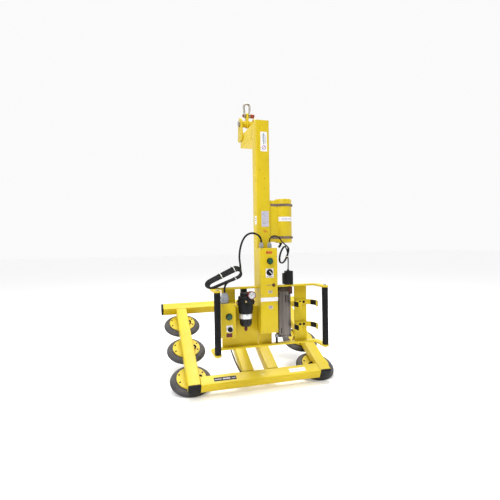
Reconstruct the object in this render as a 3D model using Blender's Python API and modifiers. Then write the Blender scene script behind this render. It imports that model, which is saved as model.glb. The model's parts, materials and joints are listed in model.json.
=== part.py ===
"""Crane-hung vacuum lifter: six suction pads on a tilting frame below a square mast.

Metres, +Z up, +X right, +Y away from the operator. The world origin is the seat in the shackle, where
a crane hook carries the lifter. Places on the mast are measured from its foot, on its axis, and places
on the pad frame from the tilt axis, with the frame lying flat.
"""
import math

import bmesh
import bpy
from mathutils import Vector

# ---------------------------------------------------------------- driving dimensions
GAP = 0.0003                 # clearance between pieces that touch
MAST_W = 0.080               # square mast tube, outside
MAST_H = 1.300               # foot to top
TUBE_WALL = 0.005
DRAIN_R = 0.003              # drain hole under each closed tube
ARM_BACK = 0.300             # how far the bail arm reaches behind the mast axis
HOOK_Y = 0.277               # shackle and bail pin behind the mast axis
BAIL_PIN_Z = 1.374
LINK_PITCH = 0.056           # bail pin to shackle pin
PIN_R = 0.0125               # bail pin and pivot pin
SHACKLE_PIN_R = 0.008
BOW_R = 0.0065               # half the thickness of the shackle's bar
BOW_HALF = 0.0195            # shackle's bar centre from its own middle plane
BOW_LEG = 0.058              # shackle pin to the centre of the bow's arc

TILT = math.radians(26.0)    # pad frame's slope in the rest pose, back edge up
PIVOT_Y = 0.345
PIVOT_Z = -0.065
BEAM_W = 0.073
BEAM_H = 0.056
BEAM_WALL = 0.004
FRAME_LENGTH = 0.753         # front face to the back beam's front face
PIVOT_V = 0.375              # front face to the tilt axis
SIDE_X = 0.408               # side beams' centres
MIDDLE_X = 0.0775            # middle beams' centres
BACK_HALF = 0.549            # half the back beam's length
PAD_V = (0.136, 0.402, 0.668)
PAD_R = 0.126
PLATE_R = 0.088

SHEET = 0.003                # sheet steel of the boxes and the reservoir
BOX_W = 0.100                # control box
BOX_FRONT = -0.1176
BOX_LOW, BOX_HIGH = 0.088, 0.563

BAR_BACK = -MAST_W / 2 - GAP
BAR_W = 0.038
BAR_T = 0.010
BAR_HALF = 0.328             # mast axis to the handle bars' outer edge
TOP_BAR_Z = 0.343            # middle of the top bar
LOW_BAR_Z = 0.009
GRIP_Y = -0.182
GRIP_R = 0.017
ROD_R = 0.0095
PLATE_X = 0.2185             # side plates' centres
PLATE_W = 0.077
PLATE_T = 0.008
BACKING_TOP = 0.235          # top of the left plate's wide part, behind the filter

SWITCH_BOX = (-0.277, -0.195, 0.081, 0.266)      # left, right, bottom, top
SWITCH_FRONT = -0.121
FILTER_X, FILTER_Y = -0.134, -0.100
TANK_X, TANK_R = 0.134, 0.051
TANK_LOW, TANK_HIGH = 0.592, 0.850

CABLE_A_R = 0.0055
CABLE_B_R = 0.0035

SEAT_Z = BAIL_PIN_Z + LINK_PITCH + BOW_LEG + BOW_HALF - BOW_R   # where the hook bears

YELLOW = ("yellow_paint", (0.86, 0.66, 0.02), 0.35, 0.0)
BLACK = ("black_plastic", (0.02, 0.02, 0.022), 0.5, 0.0)
RUBBER = ("rubber", (0.025, 0.025, 0.027), 0.7, 0.0)
STEEL = ("galvanised_steel", (0.52, 0.52, 0.48), 0.45, 1.0)
RED = ("red_paint", (0.45, 0.04, 0.01), 0.4, 0.0)
GREY = ("grey_steel", (0.30, 0.28, 0.26), 0.45, 0.8)
GREEN = ("green_plastic", (0.0, 0.20, 0.10), 0.35, 0.0)
GLAND = ("grey_nylon", (0.42, 0.44, 0.46), 0.5, 0.0)

# ---------------------------------------------------------------- scene and helpers
for old in list(bpy.data.objects):
    bpy.data.objects.remove(old, do_unlink=True)

parts = bpy.data.collections.new("vacuum_lifter")
cutters = bpy.data.collections.new("cutters")
bpy.context.scene.collection.children.link(parts)
bpy.context.scene.collection.children.link(cutters)


def empty(name, location, parent=None, tilt=0.0):
    """An axis or datum that pieces are parented to."""
    marker = bpy.data.objects.new(name, None)
    marker.location = location
    marker.rotation_euler = (tilt, 0.0, 0.0)
    marker.parent = parent
    parts.objects.link(marker)
    return marker


LIFTER = empty("lifter_datum", (0.0, -HOOK_Y, -SEAT_Z))
BAIL_AXIS = empty("bail_axis", (0.0, HOOK_Y, BAIL_PIN_Z), LIFTER)
SHACKLE_AXIS = empty("shackle_axis", (0.0, HOOK_Y, BAIL_PIN_Z + LINK_PITCH), LIFTER)
TILT_AXIS = empty("tilt_axis", (0.0, PIVOT_Y, PIVOT_Z), LIFTER, TILT)


def finish_of(look):
    name, colour, roughness, metallic = look
    found = bpy.data.materials.get(name)
    if found:
        return found
    material = bpy.data.materials.new(name)
    material.use_nodes = True
    shader = material.node_tree.nodes["Principled BSDF"]
    shader.inputs["Base Color"].default_value = (*colour, 1.0)
    shader.inputs["Roughness"].default_value = roughness
    shader.inputs["Metallic"].default_value = metallic
    return material


def place(name, data, look, parent, location=(0, 0, 0), rotation=(0, 0, 0)):
    """Make a named piece from mesh or curve data."""
    piece = bpy.data.objects.new(name, data)
    piece.location = location
    piece.rotation_euler = rotation
    piece.parent = parent
    if look:
        data.materials.append(finish_of(look))
        parts.objects.link(piece)
    else:
        cutters.objects.link(piece)
        piece.hide_render = True
        piece.display_type = "WIRE"
    return piece


def box(name, low, high, look=None, parent=LIFTER, round_edge=0.0):
    """A block between two corners, with rounded edges if wanted."""
    low, high = Vector(low), Vector(high)
    mesh = bpy.data.meshes.new(name)
    form = bmesh.new()
    bmesh.ops.create_cube(form, size=1.0)
    bmesh.ops.scale(form, vec=high - low, verts=form.verts)
    form.to_mesh(mesh)
    form.free()
    piece = place(name, mesh, look, parent, (low + high) / 2)
    if round_edge:
        bevel = piece.modifiers.new("rounded_edges", "BEVEL")
        bevel.width = round_edge
        bevel.segments = 1
        bevel.limit_method = "ANGLE"
    return piece


def turned(name, profile, look=None, parent=LIFTER, location=(0, 0, 0), rotation=(0, 0, 0),
           steps=24, ring=False):
    """A turned shape: profile points are (radius, height), from the top down the outer side."""
    mesh = bpy.data.meshes.new(name)
    form = bmesh.new()
    corners = [form.verts.new((radius, 0.0, height)) for radius, height in profile]
    for first, second in zip(corners, corners[1:]):
        form.edges.new((first, second))
    if ring:
        form.edges.new((corners[-1], corners[0]))
    form.to_mesh(mesh)
    form.free()
    piece = place(name, mesh, look, parent, location, rotation)
    screw = piece.modifiers.new("turn", "SCREW")
    screw.steps = steps
    screw.render_steps = steps
    screw.use_merge_vertices = True
    screw.merge_threshold = 0.00001
    if look:
        mesh.shade_smooth()
    return piece


def cylinder(name, radius, low, high, look=None, parent=LIFTER, location=(0, 0, 0), axis="Z", steps=24,
             chamfer=0.0):
    """A solid cylinder from low to high along its axis."""
    turn = {"X": (0, math.pi / 2, 0), "Y": (-math.pi / 2, 0, 0), "Z": (0, 0, 0)}[axis]
    profile = [(0, high), (radius, high), (radius, low), (0, low)]
    if chamfer:
        profile = [(0, high), (radius - chamfer, high), (radius, high - chamfer),
                   (radius, low + chamfer), (radius - chamfer, low), (0, low)]
    return turned(name, profile, look, parent, location, turn, steps)


def outline(name, loops, thickness, look=None, parent=LIFTER, location=(0, 0, 0), rotation=(0, 0, 0)):
    """A flat plate: the first loop is its edge and the others are holes."""
    curve = bpy.data.curves.new(name, "CURVE")
    curve.dimensions = "2D"
    curve.fill_mode = "BOTH"
    curve.extrude = thickness / 2
    for loop in loops:
        spline = curve.splines.new("POLY")
        spline.points.add(len(loop) - 1)
        for point, (across, along) in zip(spline.points, loop):
            point.co = (across, along, 0.0, 1.0)
        spline.use_cyclic_u = True
    return place(name, curve, look, parent, location, rotation)


def arc(centre, radius, start, end, steps):
    """Points on an arc, angles in degrees."""
    angles = [math.radians(start + (end - start) * i / steps) for i in range(steps + 1)]
    return [(centre[0] + radius * math.cos(a), centre[1] + radius * math.sin(a)) for a in angles]


def circle(centre, radius, steps=24):
    return arc(centre, radius, 0.0, 360.0, steps)[:-1]


def boolean(piece, operation, tool):
    """Cut a piece with a tool, or join the tool to it."""
    change = piece.modifiers.new(operation.lower(), "BOOLEAN")
    change.operation = operation
    change.object = tool
    return piece


def tube_along(name, route, radius, look, parent=LIFTER, sides=2):
    """A cord or bent bar: a round tube along a list of points."""
    curve = bpy.data.curves.new(name, "CURVE")
    curve.dimensions = "3D"
    curve.bevel_depth = radius
    curve.bevel_resolution = sides
    curve.use_fill_caps = True
    spline = curve.splines.new("POLY")
    spline.points.add(len(route) - 1)
    for point, spot in zip(spline.points, route):
        point.co = (*spot, 1.0)
    return place(name, curve, look, parent)


def smooth_route(points, count):
    """Evenly spread points on a smooth curve through the given ones."""
    points = [Vector(p) for p in points]
    ends = [points[0] * 2 - points[1]] + points + [points[-1] * 2 - points[-2]]
    fine = []
    for before, start, end, after in zip(ends, ends[1:], ends[2:], ends[3:]):
        for i in range(20):
            t = i / 20
            fine.append(0.5 * ((2 * start) + (end - before) * t
                               + (2 * before - 5 * start + 4 * end - after) * t * t
                               + (3 * start - before - 3 * end + after) * t ** 3))
    fine.append(points[-1])
    travelled = [0.0]
    for a, b in zip(fine, fine[1:]):
        travelled.append(travelled[-1] + (b - a).length)
    route = []
    k = 0
    for i in range(count):
        goal = travelled[-1] * i / (count - 1)
        while k < len(fine) - 2 and travelled[k + 1] < goal:
            k += 1
        share = (goal - travelled[k]) / (travelled[k + 1] - travelled[k])
        route.append(fine[k].lerp(fine[k + 1], min(1.0, share)))
    return route


def as_mesh(piece):
    """Turn a curve piece into a mesh piece with welded caps, so that it can be cut or joined."""
    bpy.context.view_layer.update()
    graph = bpy.context.evaluated_depsgraph_get()
    mesh = bpy.data.meshes.new_from_object(piece.evaluated_get(graph))
    form = bmesh.new()
    form.from_mesh(mesh)
    bmesh.ops.remove_doubles(form, verts=form.verts, dist=0.00001)
    form.to_mesh(mesh)
    form.free()
    name, parent = piece.name, piece.parent
    solid = bpy.data.objects.new(name + "_solid", mesh)
    solid.parent = parent
    solid.location = piece.location
    solid.rotation_euler = piece.rotation_euler
    for group in piece.users_collection:
        group.objects.link(solid)
    bpy.data.objects.remove(piece, do_unlink=True)
    solid.name = name
    return solid


def hollow_box(name, low, high, wall, open_face, look, parent=LIFTER, round_edge=0.0):
    """A tube or box of sheet that is open on one face, named like '-y', or closed all round with ''."""
    piece = box(name, low, high, look, parent, round_edge)
    inner_low = [v + wall for v in low]
    inner_high = [v - wall for v in high]
    if open_face.startswith("-"):
        axis = "xyz".index(open_face[1])
        inner_low[axis] = low[axis] - wall
    elif open_face.startswith("+"):
        axis = "xyz".index(open_face[1])
        inner_high[axis] = high[axis] + wall
    return boolean(piece, "DIFFERENCE", box(name + "_cavity", inner_low, inner_high, None, parent))


def drain_hole(piece, x, y, underside, parent=LIFTER):
    """Small hole through the wall underneath a closed tube."""
    hole = cylinder(piece.name + "_drain", DRAIN_R, -2 * TUBE_WALL, 2 * TUBE_WALL, None, parent, (x, y, underside),
                    steps=8)
    return boolean(piece, "DIFFERENCE", hole)


# ---------------------------------------------------------------- mast and its arms
HALF = MAST_W / 2
ARM_TOP = MAST_H
ARM_LOW = MAST_H - MAST_W
LOW_ARM_END = 0.280

mast = hollow_box("mast_tube", (-HALF, -HALF, 0), (HALF, HALF, MAST_H), TUBE_WALL, "", YELLOW, round_edge=0.006)
drain_hole(mast, 0, 0, 0)
hollow_box("bail_arm", (-HALF, HALF + GAP, ARM_LOW), (HALF, ARM_BACK, ARM_TOP), TUBE_WALL, "-y", YELLOW,
           round_edge=0.006)
hollow_box("lower_arm", (-HALF, HALF + GAP, 0), (HALF, LOW_ARM_END, MAST_W), TUBE_WALL, "-y", YELLOW,
           round_edge=0.006)

# ---------------------------------------------------------------- bail: lug plates, pin, link and shackle
FACING_X = (math.pi / 2, 0, math.pi / 2)   # turns a flat outline into the Y-Z plane
LUG_T = 0.010
LUG_X = HALF + GAP + LUG_T / 2
LUG_FOOT = -0.112                          # below the bail pin
LUG_HALF = 0.052
LUG_CORNER = 0.014
EYE_R = 0.039                              # plate's round end about the bail pin


def tangent(corner, radius, side):
    """Angle on a circle at the origin where the line from a corner touches it, in degrees."""
    across, up = corner
    reach = math.degrees(math.acos(radius / math.hypot(across, up)))
    return math.degrees(math.atan2(up, across)) + side * reach


def lug_plate(name, side):
    shoulder = LUG_FOOT + LUG_CORNER
    touch = tangent((LUG_HALF, shoulder), EYE_R, 1)
    edge = [(-LUG_HALF, shoulder), (-LUG_HALF + LUG_CORNER, LUG_FOOT), (LUG_HALF - LUG_CORNER, LUG_FOOT),
            (LUG_HALF, shoulder)] + arc((0, 0), EYE_R, touch, 180 - touch, 12)
    outline(name, [edge, circle((0, 0), PIN_R + GAP)], LUG_T, YELLOW, LIFTER,
            (side * LUG_X, HOOK_Y, BAIL_PIN_Z), FACING_X)


def bail_pin():
    head = LUG_X + LUG_T / 2 + GAP
    profile = [(0, 0.066), (PIN_R - 0.002, 0.066), (PIN_R, 0.064), (PIN_R, -head), (0.019, -head),
               (0.019, -head - 0.007), (0.017, -head - 0.009), (0, -head - 0.009)]
    turned("bail_pin", profile, STEEL, LIFTER, (0, HOOK_Y, BAIL_PIN_Z), (0, math.pi / 2, 0), 20)


def lifting_link():
    """Flat eye with a long hub that keeps it midway between the lug plates."""
    low_r, high_r = 0.026, 0.018
    edge = arc((0, 0), low_r, -190, 10, 12) + arc((0, LINK_PITCH), high_r, 10, 170, 10)
    link = as_mesh(outline("lifting_link", [edge], 0.014, YELLOW, BAIL_AXIS, (0, 0, 0), FACING_X))
    hub_end = HALF - 0.001
    boolean(link, "UNION", cylinder("link_hub", 0.021, -hub_end, hub_end, None, BAIL_AXIS, axis="X", steps=20))
    boolean(link, "DIFFERENCE", cylinder("link_bore", PIN_R + GAP, -0.06, 0.06, None, BAIL_AXIS, axis="X",
                                         steps=20))
    boolean(link, "DIFFERENCE", cylinder("link_eye", SHACKLE_PIN_R + GAP, -0.06, 0.06, None, SHACKLE_AXIS,
                                         axis="X", steps=16))


def shackle():
    ear_in, ear_out, ear_r = 0.0103, 0.0228, 0.0145
    leg_x = (ear_in + ear_out) / 2
    crown = [(across, 0, up) for across, up in arc((0, BOW_LEG), BOW_HALF, 0, 180, 10)]
    right_leg = [(leg_x, 0, 0.004), (leg_x, 0, 0.018), (leg_x + 0.002, 0, 0.036)]
    left_leg = [(-across, 0, up) for across, _, up in reversed(right_leg)]
    route = right_leg + crown + left_leg
    bow = as_mesh(tube_along("shackle_bow", route, BOW_R, STEEL, SHACKLE_AXIS))
    for side in (-1, 1):
        low, high = sorted((side * ear_in, side * ear_out))
        boolean(bow, "UNION", cylinder("shackle_ear", ear_r, low, high, None, SHACKLE_AXIS, axis="X", steps=16))
    boolean(bow, "DIFFERENCE", cylinder("shackle_bore", SHACKLE_PIN_R + GAP, -0.06, 0.06, None, SHACKLE_AXIS,
                                        axis="X", steps=16))
    head = leg_x + BOW_R + GAP
    profile = [(0, 0.050), (0.0115, 0.050), (0.0135, 0.048), (0.0135, head), (SHACKLE_PIN_R, head),
               (SHACKLE_PIN_R, -0.028), (SHACKLE_PIN_R - 0.002, -0.030), (0, -0.030)]
    turned("shackle_pin", profile, RED, SHACKLE_AXIS, (0, 0, 0), (0, math.pi / 2, 0), 16)


lug_plate("lug_plate_left", -1)
lug_plate("lug_plate_right", 1)
bail_pin()
lifting_link()
shackle()

# ---------------------------------------------------------------- tilt pivot below the lower arm
CHEEK_X, CHEEK_T, CHEEK_R = 0.026, 0.012, 0.034
CHEEK_FRONT, CHEEK_REAR = -0.150, -0.068   # where the cheeks meet the arm, from the tilt axis


def pivot_cheek(name, side):
    top = -PIVOT_Z - GAP
    rear_touch = tangent((CHEEK_REAR, top), CHEEK_R, -1)
    front_touch = tangent((CHEEK_FRONT, top), CHEEK_R, 1) - 360
    edge = [(CHEEK_FRONT, top), (CHEEK_REAR, top)] + arc((0, 0), CHEEK_R, rear_touch, front_touch, 14)
    outline(name, [edge, circle((0, 0), PIN_R + GAP)], CHEEK_T, YELLOW, LIFTER,
            (side * CHEEK_X, PIVOT_Y, PIVOT_Z), FACING_X)


pivot_cheek("pivot_cheek_left", -1)
pivot_cheek("pivot_cheek_right", 1)

# ---------------------------------------------------------------- pad frame, laid flat about the tilt axis
FRONT = -PIVOT_V
BACK = FRAME_LENGTH - PIVOT_V              # back beam's front face
TOP = BEAM_H / 2
DRAIN_SHARE = 0.26                         # drain hole's place along a beam, clear of the pads


def beam(name, x, y):
    """A rectangular tube between x and y limits, closed at both ends."""
    tube = hollow_box(name, (x[0], y[0], -TOP), (x[1], y[1], TOP), BEAM_WALL, "", YELLOW, TILT_AXIS,
                      round_edge=0.005)
    return drain_hole(tube, (x[0] + x[1]) / 2, y[0] * (1 - DRAIN_SHARE) + y[1] * DRAIN_SHARE, -TOP, TILT_AXIS)


def along(centre):
    return centre - BEAM_W / 2, centre + BEAM_W / 2


def pad_frame():
    inner = SIDE_X - BEAM_W / 2 - GAP
    beam("front_beam", (-inner, inner), (FRONT, FRONT + BEAM_W))
    beam("back_beam", (-BACK_HALF, BACK_HALF), (BACK, BACK + BEAM_W))
    pivot_bore = cylinder("pivot_bore", PIN_R + GAP, -0.2, 0.2, None, TILT_AXIS, axis="X", steps=20)
    for side, word in ((-1, "left"), (1, "right")):
        beam("side_beam_" + word, along(side * SIDE_X), (FRONT, BACK - GAP))
        middle = beam("middle_beam_" + word, along(side * MIDDLE_X), (FRONT + BEAM_W + GAP, BACK - GAP))
        boolean(middle, "DIFFERENCE", pivot_bore)
    face = MIDDLE_X + BEAM_W / 2 + GAP
    profile = [(0, face + 0.008), (0.018, face + 0.008), (0.018, face), (PIN_R, face), (PIN_R, -face),
               (0.018, -face), (0.018, -face - 0.008), (0, -face - 0.008)]
    turned("pivot_pin", profile, STEEL, TILT_AXIS, (0, 0, 0), (0, math.pi / 2, 0), 20)


def suction_pads():
    """Yellow plate on a short hub below the beam, and the flared rubber lip under the plate."""
    plate = [(0, -GAP), (0.030, -GAP), (0.030, -0.006), (PLATE_R, -0.009), (PLATE_R, -0.015), (0, -0.015)]
    lip = [(0, -0.015 - GAP), (0.092, -0.015 - GAP), (0.118, -0.029), (PAD_R, -0.0375), (0.112, -0.0375),
           (0.097, -0.0235), (0, -0.0235)]
    for side, word in ((-1, "left"), (1, "right")):
        for row, v in zip(("front", "middle", "back"), PAD_V):
            spot = (side * SIDE_X, v - PIVOT_V, -TOP)
            turned(f"pad_plate_{row}_{word}", plate, YELLOW, TILT_AXIS, spot)
            turned(f"pad_lip_{row}_{word}", lip, RUBBER, TILT_AXIS, spot, steps=32)


def frame_hose():
    """Vacuum line between the back beam and the front beam, beside the left middle beam."""
    front, back = FRONT + BEAM_W + GAP, BACK - GAP
    route = [(-0.119, front, 0.004), (-0.119, front + 0.02, 0.004), (-0.125, front + 0.06, 0.003),
             (-0.131, front + 0.15, 0), (-0.133, front + 0.30, -0.002), (-0.132, back - 0.20, 0),
             (-0.128, back - 0.08, 0.003), (-0.127, back - 0.02, 0.004), (-0.127, back, 0.004)]
    tube_along("frame_hose", smooth_route(route, 22), 0.0045, RUBBER, TILT_AXIS)


pad_frame()
suction_pads()
frame_hose()

# ---------------------------------------------------------------- control box on the mast's front
OUTWARD = (math.pi / 2, 0, 0)              # turns a shape's top towards the operator
START = (0.006, 0.4906)                    # x and z on the cover
SELECTOR = (0.003, 0.4275)
SELECTOR_REST = math.radians(45.0)         # the lever points up and to the left
STEM_R = 0.0105
BUTTON_TRAVEL_ROOM = 0.0075


def push_button(name, look, face, spot, radius):
    """Mushroom button: its head stands off the face by its travel and a little more."""
    profile = [(0, 0.016), (radius - 0.002, 0.016), (radius, 0.014), (radius, BUTTON_TRAVEL_ROOM),
               (STEM_R, BUTTON_TRAVEL_ROOM), (STEM_R, -0.022), (0, -0.022)]
    turned(name, profile, look, LIFTER, (spot[0], face, spot[1]), OUTWARD, 20)


def stem_hole(piece, name, face, spot, depth):
    hole = cylinder(name, STEM_R + 0.0008, -depth, 0.01, None, LIFTER, (spot[0], face, spot[1]), "Z", 20)
    hole.rotation_euler = OUTWARD
    boolean(piece, "DIFFERENCE", hole)


def control_box():
    half = BOX_W / 2
    body = hollow_box("control_box", (-half, BOX_FRONT + SHEET + GAP, BOX_LOW), (half, BAR_BACK, BOX_HIGH),
                      SHEET, "-y", YELLOW)
    slot_low = (-BOX_W, BAR_BACK - BAR_W - GAP, TOP_BAR_Z - BAR_T / 2 - GAP)
    slot_high = (BOX_W, 0, TOP_BAR_Z + BAR_T / 2 + GAP)
    boolean(body, "DIFFERENCE", box("bar_slot", slot_low, slot_high))
    cover = box("control_box_cover", (-half, BOX_FRONT, BOX_LOW), (half, BOX_FRONT + SHEET, BOX_HIGH), YELLOW,
                round_edge=0.001)
    stem_hole(cover, "start_hole", BOX_FRONT, START, 0.02)
    stem_hole(cover, "selector_hole", BOX_FRONT, SELECTOR, 0.02)
    push_button("start_button", GREEN, BOX_FRONT, START, 0.0145)


def selector_knob():
    profile = [(0, 0.012), (0.0125, 0.012), (0.0145, 0.010), (0.0145, 0.002), (STEM_R, 0.002),
               (STEM_R, -0.022), (0, -0.022)]
    knob = turned("selector_knob", profile, BLACK, LIFTER, (SELECTOR[0], BOX_FRONT, SELECTOR[1]), OUTWARD, 20)
    lever = box("selector_lever", (-0.0035, -0.0138, 0.006), (0.0035, 0.0138, 0.022), None, knob,
                round_edge=0.001)
    lever.rotation_euler = (0, 0, SELECTOR_REST)
    boolean(knob, "UNION", lever)


def cable_gland(name, spot, cable_r, scale=1.0):
    """Hexagon-size collar, body and dome; the cable starts just above its top."""
    profile = [(0, 0.032), (cable_r + 0.003, 0.032), (0.0105, 0.026), (0.0115, 0.018), (0.0130, 0.017),
               (0.0130, 0.007), (0.0115, 0.006), (0.0115, GAP), (0, GAP)]
    profile = [(radius * scale, height * scale) for radius, height in profile]
    turned(name, profile, GLAND, LIFTER, spot, steps=16)


GLAND_A = (-0.031, -0.080, BOX_HIGH)
GLAND_B = (0.018, -0.080, BOX_HIGH)
GLAND_TOP = 0.032
control_box()
selector_knob()
cable_gland("control_gland_left", GLAND_A, CABLE_A_R)
cable_gland("control_gland_right", GLAND_B, CABLE_B_R)

# ---------------------------------------------------------------- handle frame
LOW_BAR_TOP = LOW_BAR_Z + BAR_T / 2
TOP_BAR_LOW = TOP_BAR_Z - BAR_T / 2
GRIP_X = BAR_HALF - BAR_W / 2


def bar_edge():
    """Edge of a handle bar, seen from above: across the mast, round two corners and forward to the grips."""
    outer_r, inner_r = 0.045, 0.014
    edge = arc((-BAR_HALF + outer_r, BAR_BACK - outer_r), outer_r, 180, 90, 6)
    edge += arc((BAR_HALF - outer_r, BAR_BACK - outer_r), outer_r, 90, 0, 6)
    edge += arc((GRIP_X, GRIP_Y), BAR_W / 2, 0, -180, 8)
    inner_x = BAR_HALF - BAR_W - inner_r
    inner_y = BAR_BACK - BAR_W - inner_r
    edge += arc((inner_x, inner_y), inner_r, 0, 90, 4)
    edge += arc((-inner_x, inner_y), inner_r, 90, 180, 4)
    edge += arc((-GRIP_X, GRIP_Y), BAR_W / 2, 0, -180, 8)
    return edge


def handle_frame():
    top = as_mesh(outline("handle_top_bar", [bar_edge()], BAR_T, YELLOW, LIFTER, (0, 0, TOP_BAR_Z)))
    outline("handle_low_bar", [bar_edge()], BAR_T, YELLOW, LIFTER, (0, 0, LOW_BAR_Z))
    low, high = LOW_BAR_TOP + GAP, TOP_BAR_LOW - GAP
    for side, word in ((-1, "left"), (1, "right")):
        spot = (side * GRIP_X, GRIP_Y, 0)
        boolean(top, "UNION", cylinder("rod_" + word, ROD_R, low, TOP_BAR_Z, None, LIFTER, spot, steps=16))
        bore = ROD_R + GAP
        profile = [(GRIP_R - 0.003, high), (GRIP_R, high - 0.003), (GRIP_R, low + 0.003), (GRIP_R - 0.003, low),
                   (bore, low), (bore, high)]
        turned("grip_" + word, profile, RUBBER, LIFTER, spot, steps=20, ring=True)
        left, right = sorted((side * (PLATE_X - PLATE_W / 2), side * (PLATE_X + PLATE_W / 2)))
        edge = [(left, low), (right, low), (right, high), (left, high)]
        if side < 0:
            inner = -BOX_W / 2 - GAP
            edge = [(left, low), (inner, low), (inner, BACKING_TOP), (right, BACKING_TOP), (right, high),
                    (left, high)]
        outline("side_plate_" + word, [edge], PLATE_T, YELLOW, LIFTER, (0, BAR_BACK - PLATE_T / 2, 0),
                (math.pi / 2, 0, 0))


handle_frame()

# ---------------------------------------------------------------- switch box on the left plate
PLATE_FRONT = BAR_BACK - PLATE_T - GAP
ATTACH = (-0.234, 0.196)
RELEASE = (-0.230, 0.128)
GLAND_C = (-0.249, -0.088, SWITCH_BOX[3])
GLAND_C_SCALE = 1.8


def switch_box():
    left, right, low, high = SWITCH_BOX
    body = hollow_box("switch_box", (left, SWITCH_FRONT, low), (right, PLATE_FRONT, high), SHEET, "+y", YELLOW,
                      round_edge=0.004)
    stem_hole(body, "attach_hole", SWITCH_FRONT, ATTACH, 0.030)
    stem_hole(body, "release_hole", SWITCH_FRONT, RELEASE, 0.030)
    push_button("attach_button", GREEN, SWITCH_FRONT, ATTACH, 0.0145)
    push_button("release_button", BLACK, SWITCH_FRONT, RELEASE, 0.0130)
    cable_gland("switch_box_gland", GLAND_C, CABLE_A_R / GLAND_C_SCALE, GLAND_C_SCALE)


switch_box()

# ---------------------------------------------------------------- filter-regulator with gauge
FILTER_TOP, FILTER_MID, BAND_LOW, BOWL_LOW = 0.322, 0.206, 0.178, 0.135
GAUGE_X, GAUGE_Z, GAUGE_FRONT, GAUGE_R = -0.114, 0.311, -0.162, 0.022
NEEDLE_REST = math.radians(50.0)


def filter_regulator():
    head = turned("filter_head", [(0, FILTER_TOP), (0.026, FILTER_TOP), (0.030, FILTER_TOP - 0.004),
                                  (0.030, 0.303), (0.038, 0.300), (0.042, 0.294), (0.042, 0.238),
                                  (0.037, FILTER_MID), (0, FILTER_MID)], BLACK, LIFTER,
                  (FILTER_X, FILTER_Y, 0))
    tab = box("filter_tab", (FILTER_X - 0.016, FILTER_Y + 0.022, 0.280),
              (FILTER_X + 0.016, BAR_BACK - 0.006, TOP_BAR_LOW - GAP))
    ports = cylinder("filter_ports", 0.015, -0.048, 0.048, None, LIFTER, (FILTER_X, FILTER_Y, 0.266), "X", 16)
    case = cylinder("gauge_case", GAUGE_R, 0, 0.045, None, LIFTER, (GAUGE_X, GAUGE_FRONT, GAUGE_Z), "Y")
    dial = cylinder("gauge_dial", GAUGE_R - 0.0025, -0.01, 0.006, None, LIFTER,
                    (GAUGE_X, GAUGE_FRONT, GAUGE_Z), "Y")
    for tool in (tab, ports, case):
        boolean(head, "UNION", tool)
    boolean(head, "DIFFERENCE", dial)
    pointer = [(-0.0024, -0.006), (0.0024, -0.006), (0.0024, 0.001), (0.0006, 0.0165), (-0.0006, 0.0165),
               (-0.0024, 0.001)]
    outline("gauge_needle", [pointer], 0.0014, BLACK, LIFTER, (GAUGE_X, GAUGE_FRONT + 0.0042, GAUGE_Z),
            (math.pi / 2, NEEDLE_REST, 0))
    turned("filter_bowl", [(0, FILTER_MID - GAP), (0.036, FILTER_MID - GAP), (0.036, BAND_LOW),
                           (0.033, BAND_LOW - 0.001), (0.033, BOWL_LOW + 0.012), (0.026, BOWL_LOW),
                           (0, BOWL_LOW)], BLACK, LIFTER, (FILTER_X, FILTER_Y, 0))
    turned("drain_valve", [(0, BOWL_LOW - GAP), (0.006, BOWL_LOW - GAP), (0.006, BOWL_LOW - 0.006),
                           (0.0085, BOWL_LOW - 0.008), (0.0085, BOWL_LOW - 0.024),
                           (0.0065, BOWL_LOW - 0.027), (0, BOWL_LOW - 0.027)], RED, LIFTER,
           (FILTER_X, FILTER_Y, 0), steps=12)


filter_regulator()

# ---------------------------------------------------------------- reservoir, vacuum generator, connector
PORT_R = 0.006
SADDLE_HALF = 0.030
SADDLE_LOW, SADDLE_HIGH = TANK_LOW + 0.006, TANK_HIGH - 0.010


def reservoir():
    """Tank on a full-height saddle against the mast's side, with a port in its bottom."""
    tank = cylinder("reservoir", TANK_R, TANK_LOW, TANK_HIGH, YELLOW, LIFTER, (TANK_X, 0, 0), "Z", 32, 0.006)
    saddle = box("tank_saddle", (HALF + GAP, -SADDLE_HALF, SADDLE_LOW), (TANK_X - 0.030, SADDLE_HALF, SADDLE_HIGH))
    boolean(tank, "UNION", saddle)
    for name, radius, low, high in (("tank_cavity", TANK_R - SHEET, TANK_LOW + SHEET, TANK_HIGH - SHEET),
                                    ("tank_port", PORT_R, TANK_LOW - SHEET, TANK_LOW + 2 * SHEET)):
        boolean(tank, "DIFFERENCE", cylinder(name, radius, low, high, None, LIFTER, (TANK_X, 0, 0)))


def vacuum_generator():
    """Steel cover over the pump, open below, with a raised lid that reaches the top bar."""
    low, high = Vector((0.067, -0.086, 0.052)), Vector((0.141, -0.030, 0.312))
    wall = Vector((SHEET, SHEET, SHEET))
    case = box("vacuum_generator", low, high, GREY, round_edge=0.002)
    cap = box("generator_cap", (0.070, -0.083, 0.300), (0.138, -0.033, TOP_BAR_LOW - GAP))
    boolean(case, "UNION", cap)
    boolean(case, "DIFFERENCE", box("generator_cavity", low + wall - Vector((0, 0, 2 * SHEET)), high - wall))


def connector_block():
    top = TOP_BAR_Z + BAR_T / 2 + GAP
    block = box("connector_block", (0.118, BAR_BACK - 0.036, top), (0.163, BAR_BACK - 0.002, top + 0.080), BLACK,
                round_edge=0.003)
    wing = box("connector_wing", (0.104, BAR_BACK - 0.032, top + 0.004), (0.125, BAR_BACK - 0.006, top + 0.068))
    boolean(block, "UNION", wing)
    return top + 0.080


reservoir()
vacuum_generator()
CONNECTOR_TOP = connector_block()

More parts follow.
